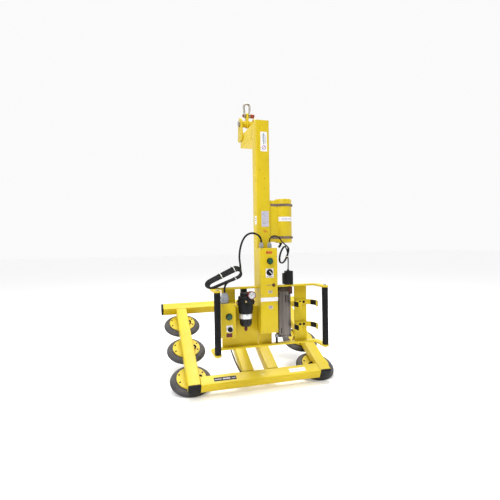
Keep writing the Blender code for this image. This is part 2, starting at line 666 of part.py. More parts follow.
# ---------------------------------------------------------------- spring clips on the right plate
CLIP_X, CLIP_R, CLIP_T, CLIP_H = 0.2225, 0.066, 0.005, 0.030
CLIP_Z = {"spring_clip_upper": 0.241, "spring_clip_lower": 0.110}
CLIP_JAW = 40                              # degrees that each jaw reaches past the widest point


def spring_clip(name, height):
    centre_y = PLATE_FRONT - CLIP_R
    edge = arc((0, 0), CLIP_R, -CLIP_JAW, 180 + CLIP_JAW, 22)
    edge += arc((0, 0), CLIP_R - CLIP_T, 180 + CLIP_JAW, -CLIP_JAW, 22)
    clip = as_mesh(outline(name, [edge], CLIP_H, YELLOW, LIFTER, (CLIP_X, centre_y, height)))
    foot = box(name + "_foot", (CLIP_X - 0.024, PLATE_FRONT - 0.009, height - CLIP_H / 2),
               (CLIP_X + 0.024, PLATE_FRONT, height + CLIP_H / 2))
    boolean(clip, "UNION", foot)


for clip_name, clip_height in CLIP_Z.items():
    spring_clip(clip_name, clip_height)

# ---------------------------------------------------------------- cords
HANK_ENDS = ((-0.178, 0.4355), (-0.318, 0.3880))   # x and z of the hank's two round ends
HANK_R = 0.0385
HANK_Y = (-0.106, -0.046)


def control_cable():
    """Thick cable: over from its gland, wound into a hank on the top bar, and down to the switch box."""
    start = (GLAND_A[0], GLAND_A[1], BOX_HIGH + GLAND_TOP + GAP)
    lead = [start, (-0.0315, -0.080, 0.612), (-0.044, -0.081, 0.633), (-0.068, -0.083, 0.646),
            (-0.094, -0.085, 0.648), (-0.120, -0.086, 0.636), (-0.139, -0.085, 0.611), (-0.151, -0.080, 0.577),
            (-0.156, -0.072, 0.540), (-0.155, -0.062, 0.505), (-0.149, -0.056, 0.4690)]
    tube_along("control_cable_lead", smooth_route(lead, 20), CABLE_A_R, RUBBER)
    (right_x, right_z), (left_x, left_z) = HANK_ENDS
    slope = math.degrees(math.atan2(right_z - left_z, right_x - left_x))
    edge = arc((right_x, right_z), HANK_R, slope - 90, slope + 90, 10)
    edge += arc((left_x, left_z), HANK_R, slope + 90, slope + 270, 10)
    outline("control_cable_hank", [edge], HANK_Y[1] - HANK_Y[0], RUBBER, LIFTER,
            (0, (HANK_Y[0] + HANK_Y[1]) / 2, 0), (math.pi / 2, 0, 0))
    gland_top = GLAND_C[2] + GLAND_TOP * GLAND_C_SCALE + GAP
    drop = [(GLAND_C[0], GLAND_C[1], gland_top), (GLAND_C[0], GLAND_C[1], gland_top + 0.015),
            (GLAND_C[0] + 0.001, GLAND_C[1], 0.3685)]
    tube_along("control_cable_drop", drop, CABLE_A_R, RUBBER)


def signal_cable():
    """Thin cable: over from its gland, two hanging loops, and down into the connector block."""
    start = (GLAND_B[0], GLAND_B[1], BOX_HIGH + GLAND_TOP + GAP)
    over = [start, (0.0185, -0.080, 0.610), (0.030, -0.080, 0.627), (0.052, -0.079, 0.632),
            (0.078, -0.077, 0.622), (0.096, -0.075, 0.598)]
    centre_x, centre_z, half_x, half_z = 0.113, 0.522, 0.031, 0.046
    loops = []
    for i in range(1, 25):
        angle = math.radians(115 - 30 * i)
        loops.append((centre_x + half_x * math.cos(angle), -0.074 + 0.0010 * i,
                      centre_z + half_z * math.sin(angle)))
    down = [(0.140, -0.052, 0.470), (0.139, -0.054, 0.450), (0.139, -0.056, CONNECTOR_TOP + GAP)]
    tube_along("signal_cable", smooth_route(over + loops + down, 60), CABLE_B_R, RUBBER)


control_cable()
signal_cable()
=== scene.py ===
"""Looks of the crane-hung vacuum lifter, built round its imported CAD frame.

Shapes are in millimetres, and each piece is scaled to metres when it is done. Pieces on the mast are
modelled in the mast's coordinates: origin on the mast axis at its foot. Pieces on the pad frame are
modelled with the frame lying flat, origin on the tilt axis, and then tilted.
"""
import json
import math

import bmesh
import bpy
from mathutils import Matrix, Vector


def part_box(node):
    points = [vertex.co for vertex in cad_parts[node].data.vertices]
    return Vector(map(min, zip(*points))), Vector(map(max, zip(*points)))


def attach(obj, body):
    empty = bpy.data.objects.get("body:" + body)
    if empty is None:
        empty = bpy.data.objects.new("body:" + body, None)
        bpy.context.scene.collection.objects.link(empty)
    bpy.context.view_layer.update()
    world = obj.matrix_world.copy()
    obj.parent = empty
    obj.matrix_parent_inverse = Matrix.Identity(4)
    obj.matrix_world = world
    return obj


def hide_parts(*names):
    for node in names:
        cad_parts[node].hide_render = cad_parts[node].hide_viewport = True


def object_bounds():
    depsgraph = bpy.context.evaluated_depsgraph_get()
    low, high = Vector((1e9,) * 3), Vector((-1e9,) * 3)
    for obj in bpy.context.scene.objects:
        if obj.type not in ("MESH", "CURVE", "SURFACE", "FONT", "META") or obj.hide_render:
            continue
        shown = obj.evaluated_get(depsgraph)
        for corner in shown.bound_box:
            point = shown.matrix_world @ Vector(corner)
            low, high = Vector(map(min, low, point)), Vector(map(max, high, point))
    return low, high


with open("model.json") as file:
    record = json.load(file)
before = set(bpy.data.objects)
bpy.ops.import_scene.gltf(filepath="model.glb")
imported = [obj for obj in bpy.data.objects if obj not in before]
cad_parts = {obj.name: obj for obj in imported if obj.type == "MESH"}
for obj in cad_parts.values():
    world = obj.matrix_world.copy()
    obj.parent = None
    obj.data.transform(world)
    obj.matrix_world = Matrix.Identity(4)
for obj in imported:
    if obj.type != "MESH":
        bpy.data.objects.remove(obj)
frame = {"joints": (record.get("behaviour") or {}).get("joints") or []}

CAD_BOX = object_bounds()

# ---------------------------------------------------------------- places read from the frame
MM = Matrix.Scale(0.001, 4)
mast_low, mast_high = (Vector(corner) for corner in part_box("mast_tube"))
HALF = (mast_high.x - mast_low.x) * 500
MAST_H = (mast_high.z - mast_low.z) * 1000
MAST = Matrix.Translation(((mast_low.x + mast_high.x) / 2, (mast_low.y + mast_high.y) / 2, mast_low.z))
joints = {joint["name"]: joint for joint in frame["joints"]}
REST_TILT = math.radians(26)
PADS = Matrix.Translation(joints["pad_frame_tilt"]["pos_m"]) @ Matrix.Rotation(REST_TILT, 4, "X")


def local_box(node):
    """A mast node's corners in the mast's coordinates."""
    low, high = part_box(node)
    inverse = MAST.inverted()
    return inverse @ Vector(low) * 1000, inverse @ Vector(high) * 1000


def axis_of(joint):
    """Where a joint's axis lies, in the mast's coordinates."""
    return MAST.inverted() @ Vector(joints[joint]["pos_m"]) * 1000


GAP = 0.3                                    # clearance between neighbouring pieces
SIDES = ((-1, "left"), (1, "right"))
BAIL = axis_of("mast_swing")                 # bail pin
LINK_TOP = axis_of("shackle_swing")          # shackle pin


# ---------------------------------------------------------------- materials
def finish(name, light, dark, rough=(0.4, 0.5), metallic=0.0, tint=9.0, grain=350.0, bump=0.15, stretch=(1, 1, 1),
        coat=0.0, wear=None, dust_and_top_light=None, depth=0.0002, shine=0.5):
    """Procedural surface: two tints mixed by noise, uneven gloss, a fine relief, scuffs, and a lighter mix on upward
    faces: grey dust on the dark materials, painted top light on the yellow paint.
    """
    material = bpy.data.materials.new(name)
    material.use_nodes = True
    tree = material.node_tree
    shader = tree.nodes["Principled BSDF"]
    shader.inputs["Metallic"].default_value = metallic
    shader.inputs["Coat Weight"].default_value = coat
    shader.inputs["Specular IOR Level"].default_value = shine
    shader.inputs["Coat Roughness"].default_value = 0.12
    place = tree.nodes.new("ShaderNodeTexCoord")
    mapping = tree.nodes.new("ShaderNodeMapping")
    mapping.inputs["Scale"].default_value = stretch
    tree.links.new(place.outputs["Object"], mapping.inputs["Vector"])

    def noise(scale, detail, roughness=0.6):
        texture = tree.nodes.new("ShaderNodeTexNoise")
        texture.inputs["Scale"].default_value = scale
        texture.inputs["Detail"].default_value = detail
        texture.inputs["Roughness"].default_value = roughness
        tree.links.new(mapping.outputs["Vector"], texture.inputs["Vector"])
        return texture.outputs["Fac"]

    def ramp(value, low, high, first, second):
        blend = tree.nodes.new("ShaderNodeMapRange")
        blend.clamp = True
        blend.inputs["From Min"].default_value = low
        blend.inputs["From Max"].default_value = high
        blend.inputs["To Min"].default_value = first
        blend.inputs["To Max"].default_value = second
        tree.links.new(value, blend.inputs["Value"])
        return blend.outputs["Result"]

    def mixed(factor, first, second):
        mix = tree.nodes.new("ShaderNodeMix")
        mix.data_type = "RGBA"
        tree.links.new(factor, mix.inputs["Factor"])
        for socket, colour in ((mix.inputs[6], first), (mix.inputs[7], second)):
            if isinstance(colour, tuple):
                socket.default_value = (*colour, 1.0)
            else:
                tree.links.new(colour, socket)
        return mix.outputs[2]

    cloud = noise(tint, 4.0)
    colour = mixed(ramp(cloud, 0.35, 0.65, 0.0, 1.0), light, dark)
    # Lighter mix on upward faces: grey dust on the black plastic, cable and foam, a grey mix on the pad rubber, and
    # painted top light on the yellow paint.
    if dust_and_top_light:
        normal = tree.nodes.new("ShaderNodeNewGeometry")
        split = tree.nodes.new("ShaderNodeSeparateXYZ")
        tree.links.new(normal.outputs["Normal"], split.inputs["Vector"])
        facing = ramp(split.outputs["Z"], 0.2, 1.0, 0.0, dust_and_top_light[1])
        patch = ramp(noise(tint * 4, 6.0), 0.3, 0.7, 0.3, 1.0)
        both = tree.nodes.new("ShaderNodeMath")
        both.operation = "MULTIPLY"
        tree.links.new(facing, both.inputs[0])
        tree.links.new(patch, both.inputs[1])
        colour = mixed(both.outputs[0], colour, dust_and_top_light[0])
    if wear:
        scuff = ramp(noise(wear[2], 9.0, 0.72), wear[1], wear[1] + 0.03, 0.0, 1.0)
        colour = mixed(scuff, colour, wear[0])
    tree.links.new(colour, shader.inputs["Base Color"])
    tree.links.new(ramp(noise(tint * 3, 5.0), 0.3, 0.7, *rough), shader.inputs["Roughness"])
    relief = tree.nodes.new("ShaderNodeBump")
    relief.inputs["Strength"].default_value = bump
    relief.inputs["Distance"].default_value = depth
    tree.links.new(noise(grain, 3.0), relief.inputs["Height"])
    tree.links.new(relief.outputs["Normal"], shader.inputs["Normal"])
    return material


LOOKS = {
    # The yellow's upward-face tint is a painted top highlight: a brighter yellow where light falls on top faces.
    "yellow": (finish("yellow_enamel", (0.7, 0.525, 0.011), (0.6, 0.435, 0.009), (0.34, 0.46), tint=4, grain=160,
        bump=0.02, shine=0.32, wear=((0.26, 0.19, 0.07), 0.8, 22), dust_and_top_light=((0.86, 0.78, 0.1), 0.35)), "yellow_paint"),
    "weld": (finish("painted_weld", (0.62, 0.45, 0.012), (0.46, 0.32, 0.01), (0.3, 0.45), tint=60, grain=900,
        bump=0.2, coat=0.2), "yellow_paint"),
    "red": (finish("red_enamel", (0.42, 0.06, 0.01), (0.2, 0.018, 0.006), (0.35, 0.55), tint=60,
        wear=((0.36, 0.24, 0.14), 0.64, 90)), "red_paint"),
    "zinc": (finish("galvanised_zinc", (0.52, 0.49, 0.42), (0.28, 0.25, 0.2), (0.35, 0.6), 1.0, tint=110, grain=500,
        bump=0.2, wear=((0.14, 0.07, 0.03), 0.62, 120)), "galvanised_steel"),
    "bright": (finish("plated_steel", (0.86, 0.86, 0.86), (0.74, 0.74, 0.75), (0.22, 0.34), 0.55, tint=80,
        bump=0.03), "galvanised_steel"),
    "stainless": (finish("brushed_cover", (0.215, 0.185, 0.165), (0.115, 0.1, 0.09), (0.3, 0.48), 0.7, tint=12,
        grain=260, bump=0.2, stretch=(6, 6, 0.3), wear=((0.045, 0.038, 0.032), 0.68, 16)), "grey_steel"),
    "olive": (finish("olive_cap", (0.06, 0.045, 0.018), (0.028, 0.02, 0.01), (0.4, 0.55), tint=40, shine=0.3),
        "black_plastic"),
    "maroon": (finish("maroon_bracket", (0.075, 0.022, 0.012), (0.04, 0.012, 0.008), (0.4, 0.55), tint=40,
        shine=0.3), "red_plastic"),
    "plastic": (finish("moulded_black", (0.012, 0.012, 0.014), (0.006, 0.006, 0.007), (0.36, 0.5), tint=30,
        grain=1400, bump=0.12, shine=0.18, dust_and_top_light=((0.05, 0.047, 0.043), 0.2)), "black_plastic"),
    "smoke": (finish("smoked_plastic", (0.012, 0.01, 0.013), (0.006, 0.005, 0.006), (0.16, 0.26), tint=30,
        bump=0.03, shine=0.28), "black_plastic"),
    "nylon": (finish("grey_nylon", (0.36, 0.37, 0.42), (0.24, 0.26, 0.29), (0.4, 0.55), tint=70, grain=1200,
        bump=0.15), "grey_nylon"),
    "green": (finish("green_button", (0.002, 0.075, 0.03), (0.001, 0.04, 0.017), (0.16, 0.24), tint=50, bump=0.02,
        shine=0.5), "green_plastic"),
    "dark_red": (finish("dark_red_plastic", (0.17, 0.012, 0.014), (0.09, 0.007, 0.009), (0.25, 0.35), tint=50,
        bump=0.03, shine=0.4), "red_plastic"),
    "cable": (finish("cable_jacket", (0.012, 0.012, 0.013), (0.006, 0.006, 0.007), (0.32, 0.5), tint=40, grain=1800,
        bump=0.1, shine=0.18, dust_and_top_light=((0.07, 0.065, 0.06), 0.15)), "cable_rubber"),
    "foam": (finish("foam_grip", (0.012, 0.012, 0.014), (0.006, 0.006, 0.007), (0.75, 0.9), tint=60, grain=1100,
        bump=0.8, depth=0.0006, shine=0.2, dust_and_top_light=((0.06, 0.06, 0.055), 0.1)), "foam_rubber"),
    "pad": (finish("pad_rubber", (0.05, 0.047, 0.052), (0.016, 0.015, 0.017), (0.4, 0.65), tint=26, grain=500,
        bump=0.25, shine=0.4, dust_and_top_light=((0.24, 0.22, 0.21), 0.4), wear=((0.16, 0.15, 0.14), 0.7, 60)), "pad_rubber"),
    "liner": (finish("clip_liner", (0.012, 0.011, 0.012), (0.006, 0.006, 0.006), (0.6, 0.8), tint=50, grain=900,
        bump=0.4, shine=0.2), "cable_rubber"),
    "brass": (finish("brass_fitting", (0.7, 0.52, 0.26), (0.52, 0.36, 0.15), (0.25, 0.4), 1.0, tint=90, bump=0.05),
        "galvanised_steel"),
    "white": (finish("white_label", (0.86, 0.85, 0.88), (0.76, 0.75, 0.79), (0.35, 0.5), tint=30, bump=0.03),
        "grey_nylon"),
    "lilac": (finish("grey_label", (0.58, 0.55, 0.66), (0.46, 0.44, 0.52), (0.35, 0.5), tint=70, bump=0.03),
        "grey_nylon"),
    "ink": (finish("printed_grey", (0.12, 0.125, 0.13), (0.07, 0.07, 0.075), (0.4, 0.5), tint=70, bump=0.03),
        "black_plastic"),
    "slate": (finish("printed_slate", (0.34, 0.38, 0.4), (0.24, 0.27, 0.29), (0.4, 0.5), tint=70, bump=0.03),
        "grey_nylon"),
    "purple": (finish("printed_purple", (0.3, 0.06, 0.2), (0.22, 0.04, 0.14), (0.4, 0.5), tint=70, bump=0.03),
        "red_plastic"),
    "orange": (finish("orange_print", (0.62, 0.085, 0.01), (0.36, 0.03, 0.008), (0.35, 0.5), tint=50, bump=0.03),
        "red_plastic"),
    "band": (finish("band_strap", (0.3, 0.22, 0.17), (0.16, 0.11, 0.09), (0.35, 0.55), 0.6, tint=70, grain=700,
        bump=0.1), "grey_steel"),
    "tie": (finish("cable_tie", (0.84, 0.84, 0.8), (0.72, 0.72, 0.68), (0.4, 0.5), tint=60, bump=0.03), "grey_nylon"),
    "dial_green": (finish("dial_green", (0.05, 0.35, 0.1), (0.03, 0.28, 0.08), (0.4, 0.5), bump=0.03),
        "green_plastic"),
}


def glass():
    material = bpy.data.materials.new("gauge_glass")
    material.use_nodes = True
    shader = material.node_tree.nodes["Principled BSDF"]
    shader.inputs["Base Color"].default_value = (0.95, 0.97, 1.0, 1.0)
    shader.inputs["Roughness"].default_value = 0.03
    shader.inputs["Alpha"].default_value = 0.12
    return material


LOOKS["glass"] = (glass(), "grey_nylon")


# ---------------------------------------------------------------- shapes
class Form:
    """A mesh under construction."""

    def __init__(self):
        self.mesh = bmesh.new()

    def block(self, low, high, edge=0.0, segments=3, along=None, turn=None):
        """Box between two corners; rounds all edges, or only those along one axis."""
        low, high = Vector(low), Vector(high)
        verts = bmesh.ops.create_cube(self.mesh, size=1.0)["verts"]
        bmesh.ops.scale(self.mesh, vec=high - low, verts=verts)
        bmesh.ops.translate(self.mesh, vec=(low + high) / 2, verts=verts)
        edges = list({one for vert in verts for one in vert.link_edges})
        if along is not None:
            edges = [one for one in edges if abs((one.verts[0].co - one.verts[1].co).normalized()[along]) > 0.9]
        if turn:
            bmesh.ops.transform(self.mesh, matrix=turn, verts=verts)
        if edge:
            bmesh.ops.bevel(self.mesh, geom=edges, offset=edge, segments=segments, profile=0.5, affect="EDGES",
                clamp_overlap=True)
        return self

    def lathe(self, profile, centre=(0, 0, 0), axis=(0, 0, 1), steps=48, ring=False):
        """Turned shape: (radius, height) from the top down the outer side.

        The profile ends on the axis, or goes on into a bore for a ring; with None its ends are left open.
        """
        if ring is False:
            profile = [(0, profile[0][1])] * bool(profile[0][0]) + [*profile, (0, profile[-1][1])]
        place = Matrix.Translation(centre) @ Vector(axis).to_track_quat("Z", "Y").to_matrix().to_4x4()
        rings = []
        for radius, height in profile:
            count = steps if radius > 1e-6 else 1
            angles = [math.tau * i / steps for i in range(count)]
            rings.append([self.mesh.verts.new(place @ Vector((radius * math.cos(a), radius * math.sin(a),
                height))) for a in angles])
        pairs = list(zip(rings, rings[1:]))
        if ring:
            pairs.append((rings[-1], rings[0]))
        for upper, lower in pairs:
            for i in range(steps):
                j = (i + 1) % steps
                corners = [upper[i % len(upper)], lower[i % len(lower)], lower[j % len(lower)], upper[j % len(upper)]]
                corners = list(dict.fromkeys(corners))
                if len(corners) > 2:
                    self.mesh.faces.new(corners)
        return self

    def sweep(self, points, radius, sides=12, closed=False):
        """Round bar along points; the radius is a number or a function of the point's place in the list."""
        points = [Vector(p) for p in points]
        count = len(points)
        tangents = []
        for i in range(count):
            after = points[(i + 1) % count] if closed else points[min(i + 1, count - 1)]
            before = points[(i - 1) % count] if closed else points[max(i - 1, 0)]
            tangents.append((after - before).normalized())
        side = tangents[0].orthogonal().normalized()
        rings = []
        for i, (point, tangent) in enumerate(zip(points, tangents)):
            side = (side - tangent * side.dot(tangent)).normalized()
            up = tangent.cross(side)
            size = radius(i) if callable(radius) else radius
            rings.append([self.mesh.verts.new(point + (side * math.cos(math.tau * k / sides) + up * math.sin(math.tau
                * k / sides)) * size) for k in range(sides)])
        pairs = list(zip(rings, rings[1:])) + ([(rings[-1], rings[0])] if closed else [])
        for first, second in pairs:
            for k in range(sides):
                m = (k + 1) % sides
                self.mesh.faces.new((first[k], first[m], second[m], second[k]))
        if not closed:
            self.mesh.faces.new(rings[0])
            self.mesh.faces.new(list(reversed(rings[-1])))
        return self

    def weld(self, start, end, size=3):
        """A rippled weld bead between two points."""
        start, end = Vector(start), Vector(end)
        count = max(8, int((end - start).length / 1.6001))
        points = [start.lerp(end, i / count) for i in range(count + 1)]
        ends = 3

        def ripple(i):
            taper = min(1.0, (min(i, count - i) + 1) / ends)
            return size * taper * (0.86 + 0.14 * math.cos(i * 1.9) + 0.05 * math.sin(i * 0.37))
        return self.sweep(points, ripple, 8)

    def slab(self, outline, face, thickness, turn=Matrix()):
        """Thin flat shape on an outline in X and Z, its front at the given Y."""
        front, rear = ([self.mesh.verts.new(turn @ Vector((x, y, z))) for x, z in outline] for y in (face,
            face + thickness))
        self.mesh.faces.new(front)
        self.mesh.faces.new(list(reversed(rear)))
        for i in range(len(outline)):
            j = (i + 1) % len(outline)
            self.mesh.faces.new((front[i], rear[i], rear[j], front[j]))
        return self

    def hex_bolt(self, spot, facing, radius=7.5, height=5, washer=10.5):
        """Hexagon head on a washer."""
        top = height + 1.5
        self.lathe([(radius * 0.88, top), (radius, top - 1.2), (radius, 1.5)], spot, facing, 6)
        return self.lathe([(washer - 0.4, 1.5), (washer, 1.1), (washer, 0)], spot, facing, 24)

    def socket_bolt(self, spot, facing, radius=5.5, height=5):
        """Cap screw with a socket in its head."""
        sink = height * 0.5
        return self.lathe([(radius * 0.5, sink), (radius * 0.5, height), (radius - 0.6, height),
            (radius, height - 0.6), (radius, 0)], spot, facing, 20)

    def done(self, name, look, body="mast", replaces="", smooth=32.0):
        """Make the piece, with its material, its body and the CAD nodes that it stands for."""
        bmesh.ops.recalc_face_normals(self.mesh, faces=self.mesh.faces)
        mesh = bpy.data.meshes.new(name)
        self.mesh.to_mesh(mesh)
        self.mesh.free()
        mesh.shade_smooth()
        mesh.set_sharp_from_angle(angle=math.radians(smooth))
        mesh.transform(place_of(body) @ MM)
        return settle(bpy.data.objects.new(name, mesh), look, body, replaces)


def place_of(body):
    return PADS if body == "pad_frame" else MAST


def settle(piece, look, body, replaces=""):
    """Put a new piece into the scene with its material and its body, and hide the CAD nodes it stands for; replaces
    lists node names with spaces.
    """
    bpy.context.scene.collection.objects.link(piece)
    material, slot = LOOKS[look]
    piece.data.materials.clear()
    piece.data.materials.append(material)
    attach(piece, body)
    if replaces:
        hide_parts(*replaces.split())
    return piece


def arc(centre, radius, start, end, steps):
    """Points on an arc, angles in degrees."""
    angles = [math.radians(start + (end - start) * i / steps) for i in range(steps + 1)]
    return [(centre[0] + radius * math.cos(a), centre[1] + radius * math.sin(a)) for a in angles]


def cut_plate(name, loops, thickness, look, location, rotation=(0, 0, 0), body="mast", replaces="", edge=0.8):
    """Flat plate with holes and softened edges; the first loop is its outline."""
    curve = bpy.data.curves.new(name + "_outline", "CURVE")
    curve.dimensions = "2D"
    curve.fill_mode = "BOTH"
    curve.extrude = thickness / 2 - edge
    curve.bevel_depth = edge
    curve.bevel_resolution = 1
    curve.offset = -edge
    for loop in loops:
        spline = curve.splines.new("POLY")
        spline.points.add(len(loop) - 1)
        for point, (across, along) in zip(spline.points, loop):
            point.co = (across, along, 0.0, 1.0)
        spline.use_cyclic_u = True
    sketch = bpy.data.objects.new(name + "_sketch", curve)
    bpy.context.scene.collection.objects.link(sketch)
    bpy.context.view_layer.update()
    mesh = bpy.data.meshes.new_from_object(sketch.evaluated_get(bpy.context.evaluated_depsgraph_get()))
    bpy.data.objects.remove(sketch, do_unlink=True)
    turn = Matrix.Translation(location) @ Matrix.Rotation(rotation[2], 4, "Z") @ Matrix.Rotation(rotation[1], 4,
        "Y") @ Matrix.Rotation(rotation[0], 4, "X")
    form = bmesh.new()
    form.from_mesh(mesh)
    bmesh.ops.remove_doubles(form, verts=form.verts, dist=0.01)
    bmesh.ops.transform(form, matrix=turn, verts=form.verts)
    form.to_mesh(mesh)
    form.free()
    mesh.shade_smooth()
    mesh.set_sharp_from_angle(angle=math.radians(32))
    mesh.transform(place_of(body) @ MM)
    piece = bpy.data.objects.new(name, mesh)
    return settle(piece, look, body, replaces)


def label(name, low, high, rows, look="white", marks="ink", body="mast", across=0):
    """Thin sticker between two corners, with plain printed bars as (left, right, bottom, top) shares.

    Its width runs along the axis across. Lying flat it faces up, and standing it faces -X or -Y.
    """
    low, high = Vector(low), Vector(high)
    size = high - low
    Form().block(low, high, 0.1, 1).done(name, look, body)
    normal = min(range(3), key=lambda i: size[i])
    up = 3 - normal - across
    face, out = (high[2], 1) if normal == 2 else (low[normal], -1)
    print_form = Form()
    for left, right, bottom, top in rows:
        first, second = Vector(), Vector()
        first[across], second[across] = low[across] + size[across] * left, low[across] + size[across] * right
        first[up], second[up] = low[up] + size[up] * bottom, low[up] + size[up] * top
        first[normal], second[normal] = sorted((face - out * 0.1, face + out * 0.15))
        print_form.block(first, second)
    print_form.done(name + "_print", marks, body)


def smooth_route(points, spacing):
    """Points on a smooth curve through the given ones, about spacing apart."""
    points = [Vector(p) for p in points]
    ends = [points[0] * 2 - points[1]] + points + [points[-1] * 2 - points[-2]]
    fine = []
    for before, start, end, after in zip(ends, ends[1:], ends[2:], ends[3:]):
        steps = max(2, round((end - start).length / spacing))
        for i in range(steps):
            t = i / steps
            fine.append(0.5 * ((2 * start) + (end - before) * t + (2 * before - 5 * start + 4 * end - after) * t * t
                + (3 * start - before - 3 * end + after) * t ** 3))
    fine.append(points[-1])
    return fine


def length_of(points):
    return sum((b - a).length for a, b in zip(points, points[1:]))


def eased(points, spacing, rounds=4):
    """The same route with evenly spread points and its kinks eased; its ends stay where they are."""
    total = length_of(points)
    count = max(2, round(total / spacing))
    route, travelled, k = [points[0]], 0.0, 0
    for i in range(1, count):
        goal = total * i / count
        while travelled + (points[k + 1] - points[k]).length < goal:
            travelled += (points[k + 1] - points[k]).length
            k += 1
        share = (goal - travelled) / (points[k + 1] - points[k]).length
        route.append(points[k].lerp(points[k + 1], share))
    route.append(points[-1])
    for _ in range(rounds):
        inner = [(a + b * 2 + c) / 4 for a, b, c in zip(route, route[1:], route[2:])]
        route = [route[0]] + inner + [route[-1]]
    return route


def metres(points):
    return [Vector(point) / 1000 for point in points]


def cord_curve(name, points, radius, body, replaces):
    """A cord as one round curve; its points are in metres."""
    place = place_of(body)
    curve = bpy.data.curves.new(name, "CURVE")
    curve.dimensions = "3D"
    curve.bevel_depth = radius / 1000
    curve.bevel_resolution = 5
    curve.use_fill_caps = True
    spline = curve.splines.new("POLY")
    spline.points.add(len(points) - 1)
    for point, spot in zip(spline.points, points):
        point.co = (*spot, 1.0)
    spline.use_smooth = True
    curve.transform(place)
    piece = settle(bpy.data.objects.new(name, curve), "cable", body, replaces)


# ---------------------------------------------------------------- camera, light and floor
def camera():
    data = bpy.data.cameras.new("camera")
    data.sensor_width = 36.0
    data.lens = 26.39
    view = bpy.data.objects.new("camera", data)
    bpy.context.scene.collection.objects.link(view)
    turn, dip, roll = (math.radians(a) for a in (16.4536, 0.7802, -0.9041))
    forward = Vector((math.sin(turn) * math.cos(dip), math.cos(turn) * math.cos(dip), -math.sin(dip)))
    right = Vector((math.cos(turn), -math.sin(turn), 0.0))
    up = right.cross(forward)
    rolled_right = right * math.cos(roll) + up * math.sin(roll)
    rolled_up = up * math.cos(roll) - right * math.sin(roll)
    place = Matrix((rolled_right, rolled_up, -forward)).transposed().to_4x4()
    place.translation = MAST @ Vector((-0.6785, -2.046, 0.582))
    view.matrix_world = place
    bpy.context.scene.camera = view


def area_light(name, spot, target, size, power, colour=(1, 1, 1)):
    data = bpy.data.lights.new(name, "AREA")
    data.shape = "SQUARE"
    data.size = size
    data.energy = power
    data.color = colour
    lamp = bpy.data.objects.new(name, data)
    bpy.context.scene.collection.objects.link(lamp)
    lamp.location = spot
    lamp.rotation_euler = (Vector(target) - Vector(spot)).to_track_quat("-Z", "Y").to_euler()


def studio():
    low, high = CAD_BOX
    middle = (low + high) / 2
    scene = bpy.context.scene
    scene.view_settings.view_transform = "Standard"
    world = bpy.data.worlds.new("studio")
    world.use_nodes = True
    sky = world.node_tree
    place = sky.nodes.new("ShaderNodeTexCoord")
    split = sky.nodes.new("ShaderNodeSeparateXYZ")
    sky.links.new(place.outputs["Generated"], split.inputs["Vector"])
    blend = sky.nodes.new("ShaderNodeMapRange")
    blend.inputs["From Min"].default_value, blend.inputs["From Max"].default_value = -0.9, 0.4
    blend.inputs["To Min"].default_value, blend.inputs["To Max"].default_value = 0.42, 0.96
    sky.links.new(split.outputs["Y"], blend.inputs["Value"])
    sky.nodes["Background"].inputs["Color"].default_value = (1.0, 1.0, 1.0, 1.0)
    sky.links.new(blend.outputs["Result"], sky.nodes["Background"].inputs["Strength"])
    scene.world = world
    area_light("key", middle + Vector((-1.8, -2.2, 2.9)), middle, 1.6, 78)
    area_light("top", middle + Vector((0.5, 0.6, 3.4)), middle, 2.0, 120)
    area_light("fill", middle + Vector((2.6, -2.0, 0.6)), middle, 2.4, 6)
    floor = bpy.data.meshes.new("floor")
    form = bmesh.new()
    bmesh.ops.create_grid(form, x_segments=1, y_segments=1, size=30.0)
    bmesh.ops.translate(form, vec=(0, 0, low.z - 0.002), verts=form.verts)
    form.to_mesh(floor)
    form.free()
    ground = bpy.data.objects.new("floor", floor)
    scene.collection.objects.link(ground)
    pale = bpy.data.materials.new("pale_floor")
    pale.use_nodes = True
    shader = pale.node_tree.nodes["Principled BSDF"]
    shader.inputs["Base Color"].default_value = (0.93, 0.93, 0.93, 1.0)
    shader.inputs["Roughness"].default_value = 0.8
    shader.inputs["Emission Color"].default_value = (1.0, 1.0, 1.0, 1.0)
    shader.inputs["Emission Strength"].default_value = 0.20
    floor.materials.append(pale)


camera()
studio()

# ---------------------------------------------------------------- mast, arms and lifting eye
ARM_BACK, LOW_ARM_END, ARM_LOW = 300, 280, MAST_H - 2 * HALF
OUT_X = (math.pi / 2, 0, math.pi / 2)        # turns a flat outline into the Y-Z plane
PIN_R, SHACKLE_PIN_R = 12.5, 8


def tangent(corner, radius, side):
    """Angle on a circle at the origin where the line from a corner touches it, in degrees."""
    reach = math.degrees(math.acos(radius / math.hypot(*corner)))
    return math.degrees(math.atan2(corner[1], corner[0])) + side * reach


def square_welds(form, low, high, normal, depth, size=3):
    """Weld beads round a rectangle across one axis, at a depth along it."""
    others = [axis for axis in range(3) if axis != normal]
    corners = []
    for first, second in ((low, low), (high, low), (high, high), (low, high)):
        spot = [0, 0, 0]
        spot[normal] = depth
        spot[others[0]] = first[others[0]]
        spot[others[1]] = second[others[1]]
        corners.append(tuple(spot))
    for start, end in zip(corners, corners[1:] + corners[:1]):
        form.weld(start, end, size)


